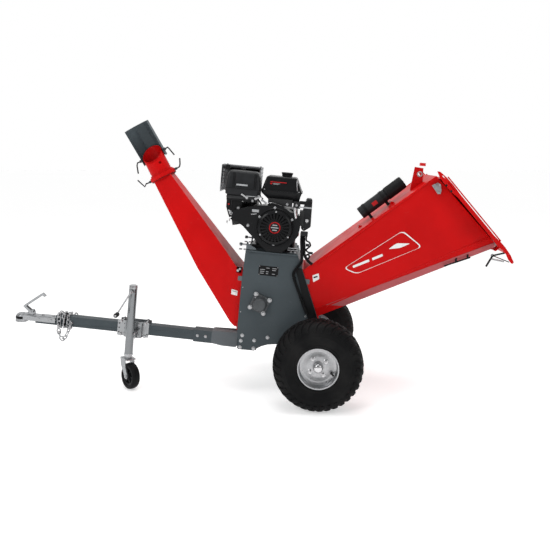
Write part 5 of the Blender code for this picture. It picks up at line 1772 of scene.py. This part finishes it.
    def air_cleaner(self) -> None:
        """The two-tone air cleaner cover: ridges, seam, knob and a plain silver sticker."""
        low, high = self.machine.box("air_cleaner_cover")
        stock = Stock(PLASTIC, SOFT_BLACK, SILVER_INK)
        low_y, high_y = low.y, high.y
        rings = []
        for z, shrink in ((0.8465, 0.006), (0.85, 0.002), (0.879, 0.0), (0.883, 0.0), (0.95, 0.006),
                          (0.97, 0.012), (0.979, 0.022), (0.9805, 0.034)):
            left, right = low.x + shrink, high.x - shrink
            near, far = low_y + shrink, high_y - shrink
            edge = rounded(oblong(left, near, right, far), 0.018, 6)
            rings.append([(x, y, z) for x, y in edge])
        stock.loft(rings)
        stock.use(SOFT_BLACK)
        stock.box((low.x + 0.012, low_y + 0.01, 0.8145), (high.x - 0.01, high_y - 0.012, 0.847))
        seam = []
        for z, grow in ((0.88, -0.0016), (0.8803, 0.0008), (0.8832, 0.0008), (0.8836, -0.0016)):
            edge = rounded(oblong(low.x - grow, low_y - grow, high.x + grow, high_y + grow), 0.019, 6)
            seam.append([(x, y, z) for x, y in edge])
        stock.loft(seam)
        for x in (low.x + 0.042, low.x + 0.05, high.x - 0.034, high.x - 0.026):
            slope = [(x, low_y + 0.0016, 0.886), (x, low_y + 0.006, 0.948), (x, low_y + 0.012, 0.969)]
            stock.sweep(smooth_route(slope, 4), 0.0026, 10)
        knob = [(0, -0.004), (0.0085, -0.004), (0.0085, 0.001), (0.013, 0.003), (0.013, 0.0095), (0, 0.0105)]
        stock.turned(knob, Matrix.Translation((-0.52, -0.02, 0.98)), 12)
        stock.box((-0.418, low_y - 0.001, 0.856), (-0.408, low_y + 0.01, 0.871))
        stock.use(SILVER_INK)
        sticker = rounded(oblong(-0.537, 0.899, -0.474, 0.908), 0.002)
        tip = Matrix.Translation((0, low_y + 0.0012, 0)) @ Matrix.Rotation(math.radians(-4), 4, "X")
        lift = Matrix.Translation((0, 0, 0.9035)) @ Matrix.Rotation(math.radians(-4), 4, "X")
        stock.plate([(x, z - 0.9035) for x, z in sticker], 0.0015, -0.0008,
                    place=Matrix.Translation(tip.translation) @ lift)
        stock.done("air_cleaner", "frame", self.machine, edge=0.0008, replaces=["air_cleaner_cover"])

    def linkage(self) -> None:
        """Governor arms, springs and rods in front of the carburettor, and the two levers."""
        carry = self.machine.carry
        carry("throttle_lever", BRIGHT, 0.0004)
        carry("choke_lever", BRIGHT, 0.0004)
        stock = Stock(PLATED, BRIGHT, SOFT_BLACK)
        y = -0.183
        arm = rounded([(-0.478, 0.84), (-0.402, 0.846), (-0.402, 0.853), (-0.478, 0.847)], 0.002)
        stock.plate(arm, y, y - 0.002)
        bell = rounded([(-0.392, 0.826), (-0.366, 0.812), (-0.36, 0.82), (-0.386, 0.836)], 0.003)
        stock.plate(bell, y + 0.002, y - 0.001)
        for x, z in ((-0.47, 0.8435), (-0.41, 0.8495), (-0.388, 0.83), (-0.366, 0.817), (-0.44, 0.821)):
            stock.bolt((x, y - 0.0018, z), NEARWARD, 0.005)
        stock.use(BRIGHT)
        stock.sweep(smooth_route([(-0.352, y, 0.816), (-0.33, y - 0.002, 0.8215), (-0.3, y, 0.8155),
                                  (-0.276, y, 0.8085)], 5), 0.0019, 8)
        coil = []
        for i in range(61):
            angle = math.tau * i / 10
            coil.append((-0.455 + 0.0007 * i, y + 0.004 + 0.003 * math.cos(angle),
                         0.829 + 0.003 * math.sin(angle)))
        stock.sweep(coil, 0.0008, 6)
        stock.use(SOFT_BLACK)
        stock.sweep(smooth_route([(-0.41, -0.15, 0.872), (-0.404, -0.168, 0.862), (-0.396, -0.172, 0.846),
                                  (-0.384, -0.166, 0.836)], 5), 0.0036, 12)
        stock.done("governor_linkage", "frame", self.machine)

    def control_panel(self) -> None:
        """The switch box with its silver strip, key barrel and key."""
        self.machine.carry("control_box", PLASTIC, 0.0022)
        self.machine.carry("ignition_key", BRIGHT, 0.0004)
        low, high = self.machine.box("control_box")
        stock = Stock(SILVER_INK, SOFT_BLACK, PLATED)
        y = low.y
        strip = rounded(oblong(low.x + 0.004, 0.806, high.x - 0.004, 0.814), 0.001)
        stock.plate(strip, y + 0.001, y - 0.0009)
        stock.use(PLATED)
        for z in (low.z + 0.012, high.z - 0.01):
            stock.screw(((low.x + high.x) / 2, y, z), NEARWARD, 0.003)
        stock.use(SOFT_BLACK)
        rocker = rounded(oblong(low.x + 0.006, 0.826, high.x - 0.006, 0.845), 0.002)
        stock.plate(rocker, y + 0.001, y - 0.003)
        stock.done("control_box_front", "frame", self.machine)

    def dipstick(self) -> None:
        """Dresses the dipstick and gives its head grip ribs and a seal."""
        self.machine.carry("oil_dipstick", RED_PLASTIC, 0.0006)
        at = self.machine.joint_at("dipstick_turn")
        axis = self.machine.joint_axis("dipstick_turn")
        low, high = self.machine.box("oil_dipstick")
        turn = facing(at, axis)
        stock = Stock(RED_PLASTIC)
        reach = max((corner - at).dot(axis) for corner in (low, high))
        for i in range(10):
            spin = turn @ Matrix.Rotation(math.tau * i / 10, 4, "Z")
            stock.box((0.0095, -0.001, reach - 0.01), (0.0125, 0.001, reach - 0.001), spin)
        stock.done("dipstick_ribs", "dipstick", self.machine)


@dataclass
class Exhaust:
    """The silencer and its perforated guard."""

    machine: Machine

    def build(self) -> None:
        """Dresses the silencer and draws the guard with its rows of slots."""
        self.machine.carry("muffler", BLACKENED, 0.004)
        low, high = self.machine.box("muffler_guard")
        stock = Stock(GALVANISED, BLACKENED, SOFT_BLACK, PLATED)
        top = high.z
        slots = [rounded(oblong(x, z, x + 0.005, z + 0.016), 0.0024, 3)
                 for x in pitched(low.x + 0.02, high.x - 0.024, 0.0125)
                 for z in pitched(low.z + 0.018, top - 0.04, 0.024)]
        outline = rounded(oblong(low.x, low.z, high.x, top), 0.012)
        stock.plate(outline, high.y, high.y - 0.0012, holes=slots)
        stock.use(BLACKENED)
        lid = []
        for z, shrink in ((top - 0.012, 0.0), (top - 0.004, 0.0), (top, 0.004), (top - 0.0015, 0.006)):
            edge = rounded(oblong(low.x + shrink, low.y + shrink, high.x - shrink, high.y - shrink), 0.012, 5)
            lid.append([(x, y, z) for x, y in edge])
        stock.loft(lid, caps=False)
        stock.loft([lid[3], [(x, y, z - 0.001) for x, y, z in lid[3]]])
        for x in (low.x + 0.004, high.x - 0.004):
            stock.rod((x, low.y + 0.0045, top - 0.01), (x, low.y + 0.0045, low.z + 0.06), 0.004, sides=12)
        stock.use(GALVANISED)
        side_holes = [rounded(oblong(y, z, y + 0.006, z + 0.014), 0.0029, 3)
                      for y in pitched(low.y + 0.012, high.y - 0.018, 0.014)
                      for z in pitched(low.z + 0.014, top - 0.03, 0.021)]
        wall = rounded(oblong(low.y, low.z, high.y, top), 0.01)
        for x in (low.x + 0.0006, high.x - 0.0006):
            turn = Matrix.Translation((x, 0, 0)) @ Matrix.Rotation(math.radians(90), 4, "Z")
            stock.plate(wall, -0.0006, 0.0006, holes=side_holes, place=turn)
        stock.use(SOFT_BLACK)
        stock.box((-0.634, low.y - 0.0004, top - 0.03), (-0.606, low.y + 0.003, top + 0.0004))
        stock.use(PLATED)
        for x in (low.x + 0.016, high.x - 0.016):
            stock.bolt((x, low.y + 0.02, top), (0, 0, 1), 0.0062)
            stock.bolt((x, high.y - 0.02, top), (0, 0, 1), 0.0062)
        stock.done("muffler_guard_slotted", "frame", self.machine, replaces=["muffler_guard"])


@dataclass
class FuelTank:
    """The pressed fuel tank, its seam, strap and cap."""

    machine: Machine

    def build(self) -> None:
        """Dresses the tank and adds its seam, printed stripe and fixings, then the cap."""
        self.machine.carry("fuel_tank", BLACK, 0.0012)
        low, high = self.machine.box("fuel_tank")
        stock = Stock(BLACK, SILVER_INK, PLATED, RED_INK)
        seam = []
        for z, grow in ((0.8838, 0.0), (0.8842, 0.0034), (0.888, 0.0034), (0.8884, 0.0)):
            edge = rounded(oblong(low.x - grow, low.y - grow, high.x + grow, high.y + grow), 0.016, 6)
            seam.append([(x, y, z) for x, y in edge])
        stock.loft(seam)
        stock.use(SILVER_INK)
        lean = Matrix.Translation((0, low.y + 0.0088, 0.927)) @ Matrix.Rotation(math.radians(-14), 4, "X")
        for left, right, z in ((-0.34, -0.298, -0.0015), (-0.336, -0.306, -0.0065)):
            stock.box((left, -0.0022, z), (right, 0.0006, z + 0.002), lean)
        stock.use(RED_INK)
        stock.box((-0.352, -0.0022, 0.0058), (-0.262, 0.0006, 0.0102), lean)
        stock.box((-0.353, -0.0022, -0.006), (-0.343, 0.0006, 0.001), lean)
        stock.use(PLATED)
        for x in (low.x + 0.018, high.x - 0.018):
            stock.bolt((x, low.y + 0.004, 0.888), (0, 0, 1), 0.0058)
        strap = [(-0.205, low.y + 0.012, 0.956), (-0.2035, low.y + 0.006, 0.93), (-0.199, low.y, 0.896)]
        stock.sweep(smooth_route(strap, 4), 0.003, 10)
        stock.done("tank_seam", "frame", self.machine, edge=0.0006)
        self.cap()

    def cap(self) -> None:
        """The flared screw cap with its grip scallops."""
        at = self.machine.joint_at("fuel_cap_turn")
        low, high = self.machine.box("fuel_cap")
        stock = Stock(PLASTIC)
        base, top = low.z, high.z
        rise = top - base
        place = Matrix.Translation((at.x, at.y, base))
        profile = [(0.0, 0.0002), (0.0255, 0.0002), (0.0265, rise * 0.4), (0.033, rise * 0.62),
                   (0.0342, rise * 0.8), (0.0325, rise * 0.93), (0.029, rise - 0.0004), (0.0, rise - 0.0002)]
        stock.turned(profile, place, 48)
        for i in range(18):
            spin = place @ Matrix.Rotation(math.tau * i / 18, 4, "Z")
            stock.box((0.0262, -0.0014, rise * 0.1), (0.03, 0.0014, rise * 0.6), spin)
        stock.done("fuel_cap_ribbed", "filler_cap", self.machine, edge=0.0006, replaces=["fuel_cap"])
        LOG.info("cap stands %.0f mm high", rise * 1000)


@dataclass
class Wiring:
    """The corrugated conduit and its branches down the housing's edge."""

    machine: Machine
    pitch: float = 0.005
    routes: tuple[tuple[Point, ...], ...] = field(default_factory=lambda: (
        ((-0.1515, -0.15, 0.668), (-0.15, -0.156, 0.628), (-0.144, -0.172, 0.58), (-0.141, -0.182, 0.556),
         (-0.138, -0.184, 0.51), (-0.16, -0.184, 0.474), (-0.176, -0.184, 0.432), (-0.156, -0.182, 0.378),
         (-0.128, -0.182, 0.318), (-0.107, -0.182, 0.27), (-0.082, -0.182, 0.22)),
        ((-0.138, -0.15, 0.668), (-0.136, -0.156, 0.628), (-0.13, -0.17, 0.58), (-0.124, -0.176, 0.545),
         (-0.1, -0.174, 0.515), (-0.078, -0.172, 0.5)),
    ))

    def ribbed(self, along: float) -> float:
        """The conduit's radius, which swells once every pitch."""
        return 0.0082 + 0.0011 * math.sin(math.tau * along / self.pitch)

    def build(self) -> None:
        """Draws the conduits, a plug on a short loop and the clips."""
        stock = Stock(SOFT_BLACK, PLASTIC, PLATED)
        for route in self.routes:
            points = smooth_route(route, 60 // len(route) * 4)
            stock.sweep(self.even(points), self.ribbed, 12)
        loop = smooth_route([(-0.124, -0.15, 0.652), (-0.122, -0.158, 0.628), (-0.104, -0.16, 0.618),
                             (-0.098, -0.16, 0.6), (-0.112, -0.16, 0.584), (-0.12, -0.16, 0.575),
                             (-0.108, -0.16, 0.564), (-0.096, -0.16, 0.56)], 6)
        stock.sweep(loop, 0.0046, 10)
        second = smooth_route([(-0.138, -0.158, 0.56), (-0.12, -0.166, 0.545), (-0.104, -0.166, 0.552),
                               (-0.098, -0.166, 0.536), (-0.112, -0.168, 0.52)], 6)
        stock.sweep(second, 0.005, 10)
        stock.use(PLASTIC)
        stock.box((-0.124, -0.172, 0.596), (-0.104, -0.156, 0.61))
        stock.box((-0.104, -0.168, 0.554), (-0.08, -0.152, 0.566))
        stock.box((-0.158, -0.174, 0.652), (-0.118, -0.142, 0.676))
        stock.use(PLATED)
        stock.use(SOFT_BLACK)
        for x, z in ((-0.1395, 0.52), (-0.17, 0.415), (-0.118, 0.296)):
            stock.box((x - 0.01, -0.1945, z - 0.0022), (x + 0.01, -0.1705, z + 0.0022))
        stock.done("wiring_loom", "frame", self.machine, replaces=["wiring_conduit"])

    def even(self, points: Sequence[Vector]) -> list[Vector]:
        """The same route stepped a quarter of a pitch at a time.

        Args:
            points: the route.

        Returns:
            The stepped route.
        """
        step = self.pitch / 4
        out = [points[0]]
        carried = 0.0
        for here, after in zip(points, points[1:]):
            span = (after - here).length
            place = step - carried
            while place <= span:
                out.append(here.lerp(after, place / span))
                place += step
            carried = span - (place - step)
        return out


# ------------------------------------------------------------------ feed and discharge


@dataclass
class Hopper:
    """The feed hopper, its fixings, printed panel and document canister."""

    machine: Machine
    slope: float = 0.9225

    def side(self, x: float) -> float:
        """Half the hopper's width at a place along it."""
        return 0.165 + 0.034 * x

    def on_side(self, x: float, z: float, out: float = 0.0) -> Point:
        """A point on the near side plate, or a little off it."""
        return (x, -self.side(x) - out, z)

    def build(self) -> None:
        """Dresses the shell and adds what is fixed to it."""
        self.machine.carry("hopper_shell", RED, 0.0016)
        self.trim()
        self.print_panel()
        self.canister()

    def trim(self) -> None:
        """Edge flanges, a paler chamfer band that is painted reflection of the floor, plate bolts, the
        lifting eye's bush and the catch's red block.
        """
        stock = Stock(RED, RED_FLOOR_REFLECTION, PLATED, RED_PLASTIC)
        for sign in (-1, 1):
            high = [(x, sign * (self.side(x) + 0.0002), 0.498 + (x + 0.056) * self.slope) for x in
                    (-0.05, 0.1, 0.25, 0.4, 0.498)]
            stock.sweep(high, 0.0046, 10)
            low = [(x, sign * (self.side(x) + 0.0002), 0.267 + (x - 0.017) * 0.571) for x in
                   (0.02, 0.2, 0.4, 0.6, 0.858)]
            stock.sweep(low, 0.004, 10)
        # Painted reflection: the paler band between crease and chin stands for the white floor seen in the
        # downward-facing chamfer.
        stock.use(RED_FLOOR_REFLECTION)
        for sign in (-1, 1):
            crease = [(0.02, 0.1668, 0.2804), (0.889, 0.1958, 0.724)]
            chin = [(0.12, 0.1524, 0.2808), (0.901, 0.161, 0.6915)]
            rings = [[(x, sign * (y + out), z - out) for x, y, z in (*crease, *chin[::-1])]
                     for out in (0.0006, 0.0016)]
            stock.loft(rings)
        stock.use(PLATED)
        for x in (0.08, 0.27):
            for y in (-0.135, 0.135):
                stock.screw((x, y, 0.498 + (x + 0.056) * self.slope + 0.001), (-self.slope, 0, 1), 0.005)
        ring = oblong(0.01, 0, 0.016, 0.0018)
        stock.turned(ring, facing((0.477, -0.0622, 1.053), NEARWARD), 28, closed=True)
        stock.use(RED_PLASTIC)
        stock.box((0.476, -0.056, 1.1), (0.506, -0.03, 1.117))
        stock.done("hopper_fixings", "frame", self.machine)

    def panel_strip(self, stock: Stock, corners: Sequence[Spot], width: float) -> None:
        """A closed printed line on the near side plate.

        Args:
            stock: the print's stock.
            corners: the line's corners, in X and Z.
            width: the line's width.
        """
        loop = rounded(list(corners), 0.026, 6)
        centre = Vector((sum(x for x, z in loop) / len(loop), sum(z for x, z in loop) / len(loop)))
        outer = [self.on_side(x, z, 0.0007) for x, z in loop]
        inner = []
        for x, z in loop:
            inward = (centre - Vector((x, z))).normalized() * width
            inner.append(self.on_side(x + inward.x, z + inward.y, 0.0007))
        behind = [self.on_side(x, z, 0.0001) for x, z in loop]
        inner_behind = [(x, y + 0.0006, z) for x, y, z in inner]
        rings = [[outer[i], inner[i], inner_behind[i], behind[i]] for i in range(len(loop))]
        stock.loft(rings, closed=True)

    def blob(self, stock: Stock, edge: Sequence[Spot], out: float = 0.0009) -> None:
        """A flat printed patch on the near side plate.

        Args:
            stock: the print's stock.
            edge: its edge, in X and Z.
            out: how far it stands off the plate.
        """
        front = [self.on_side(x, z, out) for x, z in edge]
        back = [self.on_side(x, z, 0.0001) for x, z in edge]
        stock.loft([front, back])

    def print_panel(self) -> None:
        """A white outlined panel with a plain mark, and small plain labels."""
        stock = Stock(WHITE_INK, DARK_INK)
        self.panel_strip(stock, [(0.097, 0.494), (0.171, 0.47), (0.512, 0.66), (0.398, 0.738)], 0.0068)
        mark = [(0.33, 0.627), (0.392, 0.64), (0.446, 0.671), (0.372, 0.665)]
        labels = (
            [(0.15, 0.502), (0.236, 0.548), (0.23, 0.56), (0.146, 0.514)],
            [(0.252, 0.556), (0.306, 0.586), (0.3, 0.598), (0.246, 0.568)],
            [(-0.07, 0.436), (-0.036, 0.452), (-0.03, 0.42), (-0.062, 0.398)],
        )
        self.blob(stock, rounded(mark, 0.01))
        for label in labels:
            self.blob(stock, rounded(label, 0.004))
        stock.use(DARK_INK)
        line = [(-0.064, 0.428), (-0.042, 0.438), (-0.04, 0.43), (-0.062, 0.42)]
        self.blob(stock, rounded(line, 0.001), 0.0013)
        stock.done("hopper_print", "frame", self.machine)

    def canister(self) -> None:
        """The document tube, its screw cap and the two clamps that hold it."""
        self.machine.carry("manual_canister", PLASTIC, 0.0008)
        foot = Vector((0.171, -0.035, 0.796))
        turn = Matrix.Translation(foot) @ Matrix.Rotation(math.radians(90) - math.atan(self.slope), 4, "Y")
        stock = Stock(SOFT_BLACK, RED_INK)
        for height in (0.03, 0.15):
            band = oblong(0.0352, height, 0.0374, height + 0.016)
            stock.turned(band, turn, 48, closed=True)
            stock.box((-0.012, -0.016, height), (0.012, 0.016, height + 0.016),
                      turn @ Matrix.Translation((0.044, 0, 0)))
        stock.use(RED_INK)
        rings = []
        for i in range(5):
            angle = math.radians(-112 + 9 * i)
            across = Vector((math.cos(angle), math.sin(angle), 0))
            rings.append([turn @ (across * r + Vector((0, 0, h))) for r, h in
                          ((0.0352, 0.084), (0.0361, 0.084), (0.0361, 0.116), (0.0352, 0.116))])
        stock.loft(rings)
        stock.done("canister_clamps", "frame", self.machine, edge=0.0006)
        lid = Stock(SOFT_BLACK)
        profile = [(0, 0.1825), (0.0355, 0.1825), (0.0368, 0.185),
                   (0.0368, 0.296), (0.0345, 0.3012), (0, 0.3016)]
        lid.turned(profile, turn, 48)
        for i in range(24):
            spin = turn @ Matrix.Rotation(math.tau * i / 24, 4, "Z")
            lid.box((0.0362, -0.0018, 0.19), (0.0374, 0.0018, 0.29), spin)
        lid.done("canister_lid_ribbed", "canister_lid", self.machine, edge=0.0004, replaces=["canister_cap"])


@dataclass
class FeedTray:
    """The folding feed tray, its lining, slots, latch and stays."""

    machine: Machine

    def __post_init__(self) -> None:
        """Sets up the tray's own frame, with +Z up the folded tray."""
        hinge = self.machine.joint_at("tray_fold")
        self.frame = Matrix.Translation(hinge) @ Matrix.Rotation(math.radians(-45), 4, "Y")

    def build(self) -> None:
        """Dresses the tray and adds what is fixed to it."""
        self.machine.carry("feed_tray", RED, 0.0018)
        self.machine.carry("tray_latch", GALVANISED, 0.0006)
        self.fittings()
        self.stays()

    def fittings(self) -> None:
        """The hinge seam, the bolts and the pull slots' trims."""
        low, high = self.machine.box("feed_tray")
        stock = Stock(RED, SOFT_BLACK, PLATED)
        half = high.y
        for sign in (-1, 1):
            edge = [(0.03, sign * (half - 0.001), h) for h in (0.06, 0.2, 0.38, 0.5)]
            stock.sweep([self.frame @ Vector(p) for p in edge], 0.0035, 10)
        stock.use(SOFT_BLACK)
        for height in (0.47, 0.43):
            slot = [self.frame @ Vector((-0.004, y, height)) for y in (-half + 0.004, -half - 0.0006)]
            stock.sweep(slot, 0.006, 12)
        stock.use(PLATED)
        for y in (-0.15, 0.15):
            for height in (0.04, 0.08):
                spot = self.frame @ Vector((0.03, y, height))
                stock.bolt(spot, self.frame.to_3x3() @ Vector((1, 0, 0)), 0.0075)
        stock.done("tray_fittings", "tray", self.machine)
        LOG.info("tray is %.0f mm wide", (high.y - low.y) * 1000)

    def stays(self) -> None:
        """The rod under the hopper and its catch, and the link that rides on the tray."""
        fixed = Stock(SOFT_BLACK, PLATED)
        moving = Stock(SOFT_BLACK, PLATED)
        for sign in (-1, 1):
            y = sign * 0.185
            fixed.rod((0.64, y, 0.566), (0.775, y, 0.628), 0.0042, sides=14)
            fixed.rod((0.7, y, 0.593), (0.7, y, 0.618), 0.005, sides=14)
            fixed.rod((0.76, y, 0.62), (0.76, y, 0.642), 0.005, sides=14)
            y = sign * 0.262
            moving.rod((0.868, y, 0.66), (0.84, y, 0.598), 0.005, sides=14)
            moving.rod((0.86, y, 0.642), (0.93, y, 0.634), 0.0042, sides=14)
            moving.rod((0.868, y, 0.66), (0.958, y, 0.634), 0.0026, sides=10)
            moving.use(PLATED)
            moving.bolt((0.868, y - sign * 0.004, 0.66), (0, sign, 0), 0.007)
            moving.use(SOFT_BLACK)
            moving.rod((0.868, y, 0.66), (0.928, y, 0.68), 0.0046, sides=12)
        fixed.done("hopper_rods", "frame", self.machine)
        moving.done("tray_stays", "tray", self.machine)


@dataclass
class Chute:
    """The discharge duct, the turning spout, its collar and the deflector."""

    machine: Machine
    lean: float = math.radians(32.5)

    def __post_init__(self) -> None:
        """Sets up the spout's own frame, with +Z along the leaning pipe."""
        foot = self.machine.joint_at("spout_turn")
        self.frame = Matrix.Translation(foot) @ Matrix.Rotation(-self.lean, 4, "Y")

    def build(self) -> None:
        """Dresses the duct, spout and deflector and adds the fixings."""
        self.machine.carry("chute_duct", RED, 0.0016)
        self.machine.carry("spout_deflector", SLATE, 0.001)
        self.duct_details()
        self.spout()
        self.hand_bolts()

    def duct_details(self) -> None:
        """Flange bolts, the latch block and two small labels."""
        stock = Stock(RED, PLATED, SOFT_BLACK, WHITE_INK, SILVER_INK)
        for z in (0.11, 0.21, 0.31, 0.4):
            for sign in (-1, 1):
                stock.bolt((-0.4702, sign * 0.142, z), (-1, 0, 0), 0.0068)
        stock.use(SOFT_BLACK)
        stock.box((-0.4985, -0.148, 0.406), (-0.466, -0.136, 0.44))
        stock.rod((-0.49, -0.15, 0.418), (-0.49, -0.13, 0.418), 0.007, sides=16)
        stock.use(PLATED)
        stock.bolt((-0.479, -0.148, 0.428), NEARWARD, 0.0052)
        stock.use(WHITE_INK)
        stock.plate(rounded([(-0.518, 0.305), (-0.483, 0.299), (-0.483, 0.27), (-0.518, 0.276)], 0.003),
                    -0.1338, -0.1346)
        stock.use(SILVER_INK)
        stock.plate(rounded([(-0.514, 0.299), (-0.487, 0.2945), (-0.487, 0.289), (-0.514, 0.2935)], 0.001),
                    -0.1344, -0.135)
        stock.done("chute_fixings", "frame", self.machine)
        collar = Stock(RED, SOFT_BLACK)
        band = oblong(0.0765, 0.009, 0.0785, -0.01)
        collar.turned(band, self.frame, 72, closed=True)
        collar.use(SOFT_BLACK)
        seal = oblong(0.07, -0.014, 0.0768, -0.0165)
        collar.turned(seal, self.frame, 64, closed=True)
        collar.done("collar_band", "frame", self.machine, edge=0.0005)

    def spout(self) -> None:
        """Dresses the pipe and adds its rolled mouth and rivets."""
        self.machine.carry("chute_spout", RED, 0.0005)
        stock = Stock(RED, PLATED)
        rim = []
        low, high = 0.086, 0.19
        middle, half = (low + high) / 2, (high - low) / 2
        for i in range(64):
            angle = math.tau * i / 64
            x, y = 0.06 * math.cos(angle), 0.06 * math.sin(angle)
            rim.append(self.frame @ Vector((x, y, middle + half * 0.92 * y / 0.0625)))
        stock.sweep(rim, 0.002, 8, closed=True)
        stock.use(PLATED)
        for sign in (-1, 1):
            for height in (0.04, 0.06):
                spot = self.frame @ Vector((sign * 0.0622, 0, height))
                stock.bolt(spot, self.frame.to_3x3() @ Vector((sign, 0, 0)), 0.0052, washer=False)
        stock.done("spout_rim", "spout", self.machine)

    def hand_bolts(self) -> None:
        """Dresses the four bent hand bolts."""
        for name in ("deflector_bolt_left", "deflector_bolt_right", "collar_bolt_left", "collar_bolt_right"):
            self.machine.carry(name, BLACKENED, 0.0004)


# ------------------------------------------------------------------ stage


@dataclass
class Stage:
    """The pale floor, the soft studio light and the camera."""

    machine: Machine
    reach: float = 60.0
    dim: float = 0.16
    aim: Point = (-0.06, -3.453, 1.336)
    tilt: tuple[float, float] = (86.0, 3.11)

    def build(self) -> None:
        """Lays the floor, hangs the lights and sets the camera."""
        self.floor()
        self.lights()
        self.camera()

    def floor(self) -> None:
        """A plain pale floor."""
        mesh = bpy.data.meshes.new("studio_floor")
        half = self.reach
        below = -0.0005
        corners = [(-half, -half, below), (half, -half, below), (half, half, below), (-half, half, below)]
        mesh.from_pydata(corners, [], [(0, 1, 2, 3)])
        mesh.materials.append(FLOOR.material())
        obj = bpy.data.objects.new("studio_floor", mesh)
        bpy.context.scene.collection.objects.link(obj)
        obj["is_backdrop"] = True

    def lamp(self, name: str, place: Point, aim: Point, size: float, power: float) -> None:
        """A square soft light.

        Args:
            name: its name.
            place: where it hangs.
            aim: the point that it faces.
            size: the length of its edge.
            power: its power in watts.
        """
        data = bpy.data.lights.new(name, "AREA")
        data.shape = "SQUARE"
        data.size = size
        data.energy = power
        obj = bpy.data.objects.new(name, data)
        obj.location = place
        obj.rotation_euler = (Vector(aim) - Vector(place)).to_track_quat("-Z", "Y").to_euler()
        bpy.context.scene.collection.objects.link(obj)
        obj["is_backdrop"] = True

    def lights(self) -> None:
        """A surround that is white behind the machine and dim in front of it, and three soft lights."""
        world = bpy.data.worlds.new("studio")
        bpy.context.scene.world = world
        world.use_nodes = True
        tree = world.node_tree
        background = tree.nodes["Background"]
        background.inputs["Color"].default_value = (1.0, 1.0, 1.0, 1.0)
        where = tree.nodes.new("ShaderNodeTexCoord")
        split = tree.nodes.new("ShaderNodeSeparateXYZ")
        ramp = tree.nodes.new("ShaderNodeMapRange")
        ramp.interpolation_type = "SMOOTHSTEP"
        ramp.inputs["From Min"].default_value = -0.45
        ramp.inputs["From Max"].default_value = 0.35
        ramp.inputs["To Min"].default_value = self.dim
        ramp.inputs["To Max"].default_value = 1.0
        tree.links.new(where.outputs["Generated"], split.inputs["Vector"])
        tree.links.new(split.outputs["Y"], ramp.inputs["Value"])
        tree.links.new(ramp.outputs["Result"], background.inputs["Strength"])
        self.lamp("overhead", (0.2, -0.4, 3.6), (0.0, 0.0, 0.6), 2.2, 46)
        self.lamp("key", (-2.2, -3.4, 3.0), (0.0, 0.0, 0.7), 1.4, 62)
        self.lamp("fill", (3.0, -3.2, 2.0), (0.2, 0.0, 0.7), 1.6, 26)

    def camera(self) -> None:
        """A camera off the machine's near side, a little above it."""
        data = bpy.data.cameras.new("camera")
        data.lens = 38.92
        data.sensor_width = 36
        data.shift_y = -0.137
        obj = bpy.data.objects.new("camera", data)
        obj.location = Vector(self.aim) + Vector((self.machine.axle.x, 0, 0))
        obj.rotation_euler = (math.radians(self.tilt[0]), 0, math.radians(self.tilt[1]))
        bpy.context.scene.collection.objects.link(obj)
        bpy.context.scene.camera = obj
        bpy.context.scene.view_settings.view_transform = "Standard"


def main() -> None:
    """Builds the whole machine and its stage."""
    logging.basicConfig(level=logging.INFO, format="%(message)s")
    machine = Machine()
    for side in Side:
        RoadWheel(machine, side).build()
    for assembly in (Drawbar, Coupler, JackStand, Housing, RotorDrive, Engine, Exhaust, FuelTank, Wiring,
                     Hopper, FeedTray, Chute, Stage):
        assembly(machine).build()


if __name__ == "__main__":
    main()
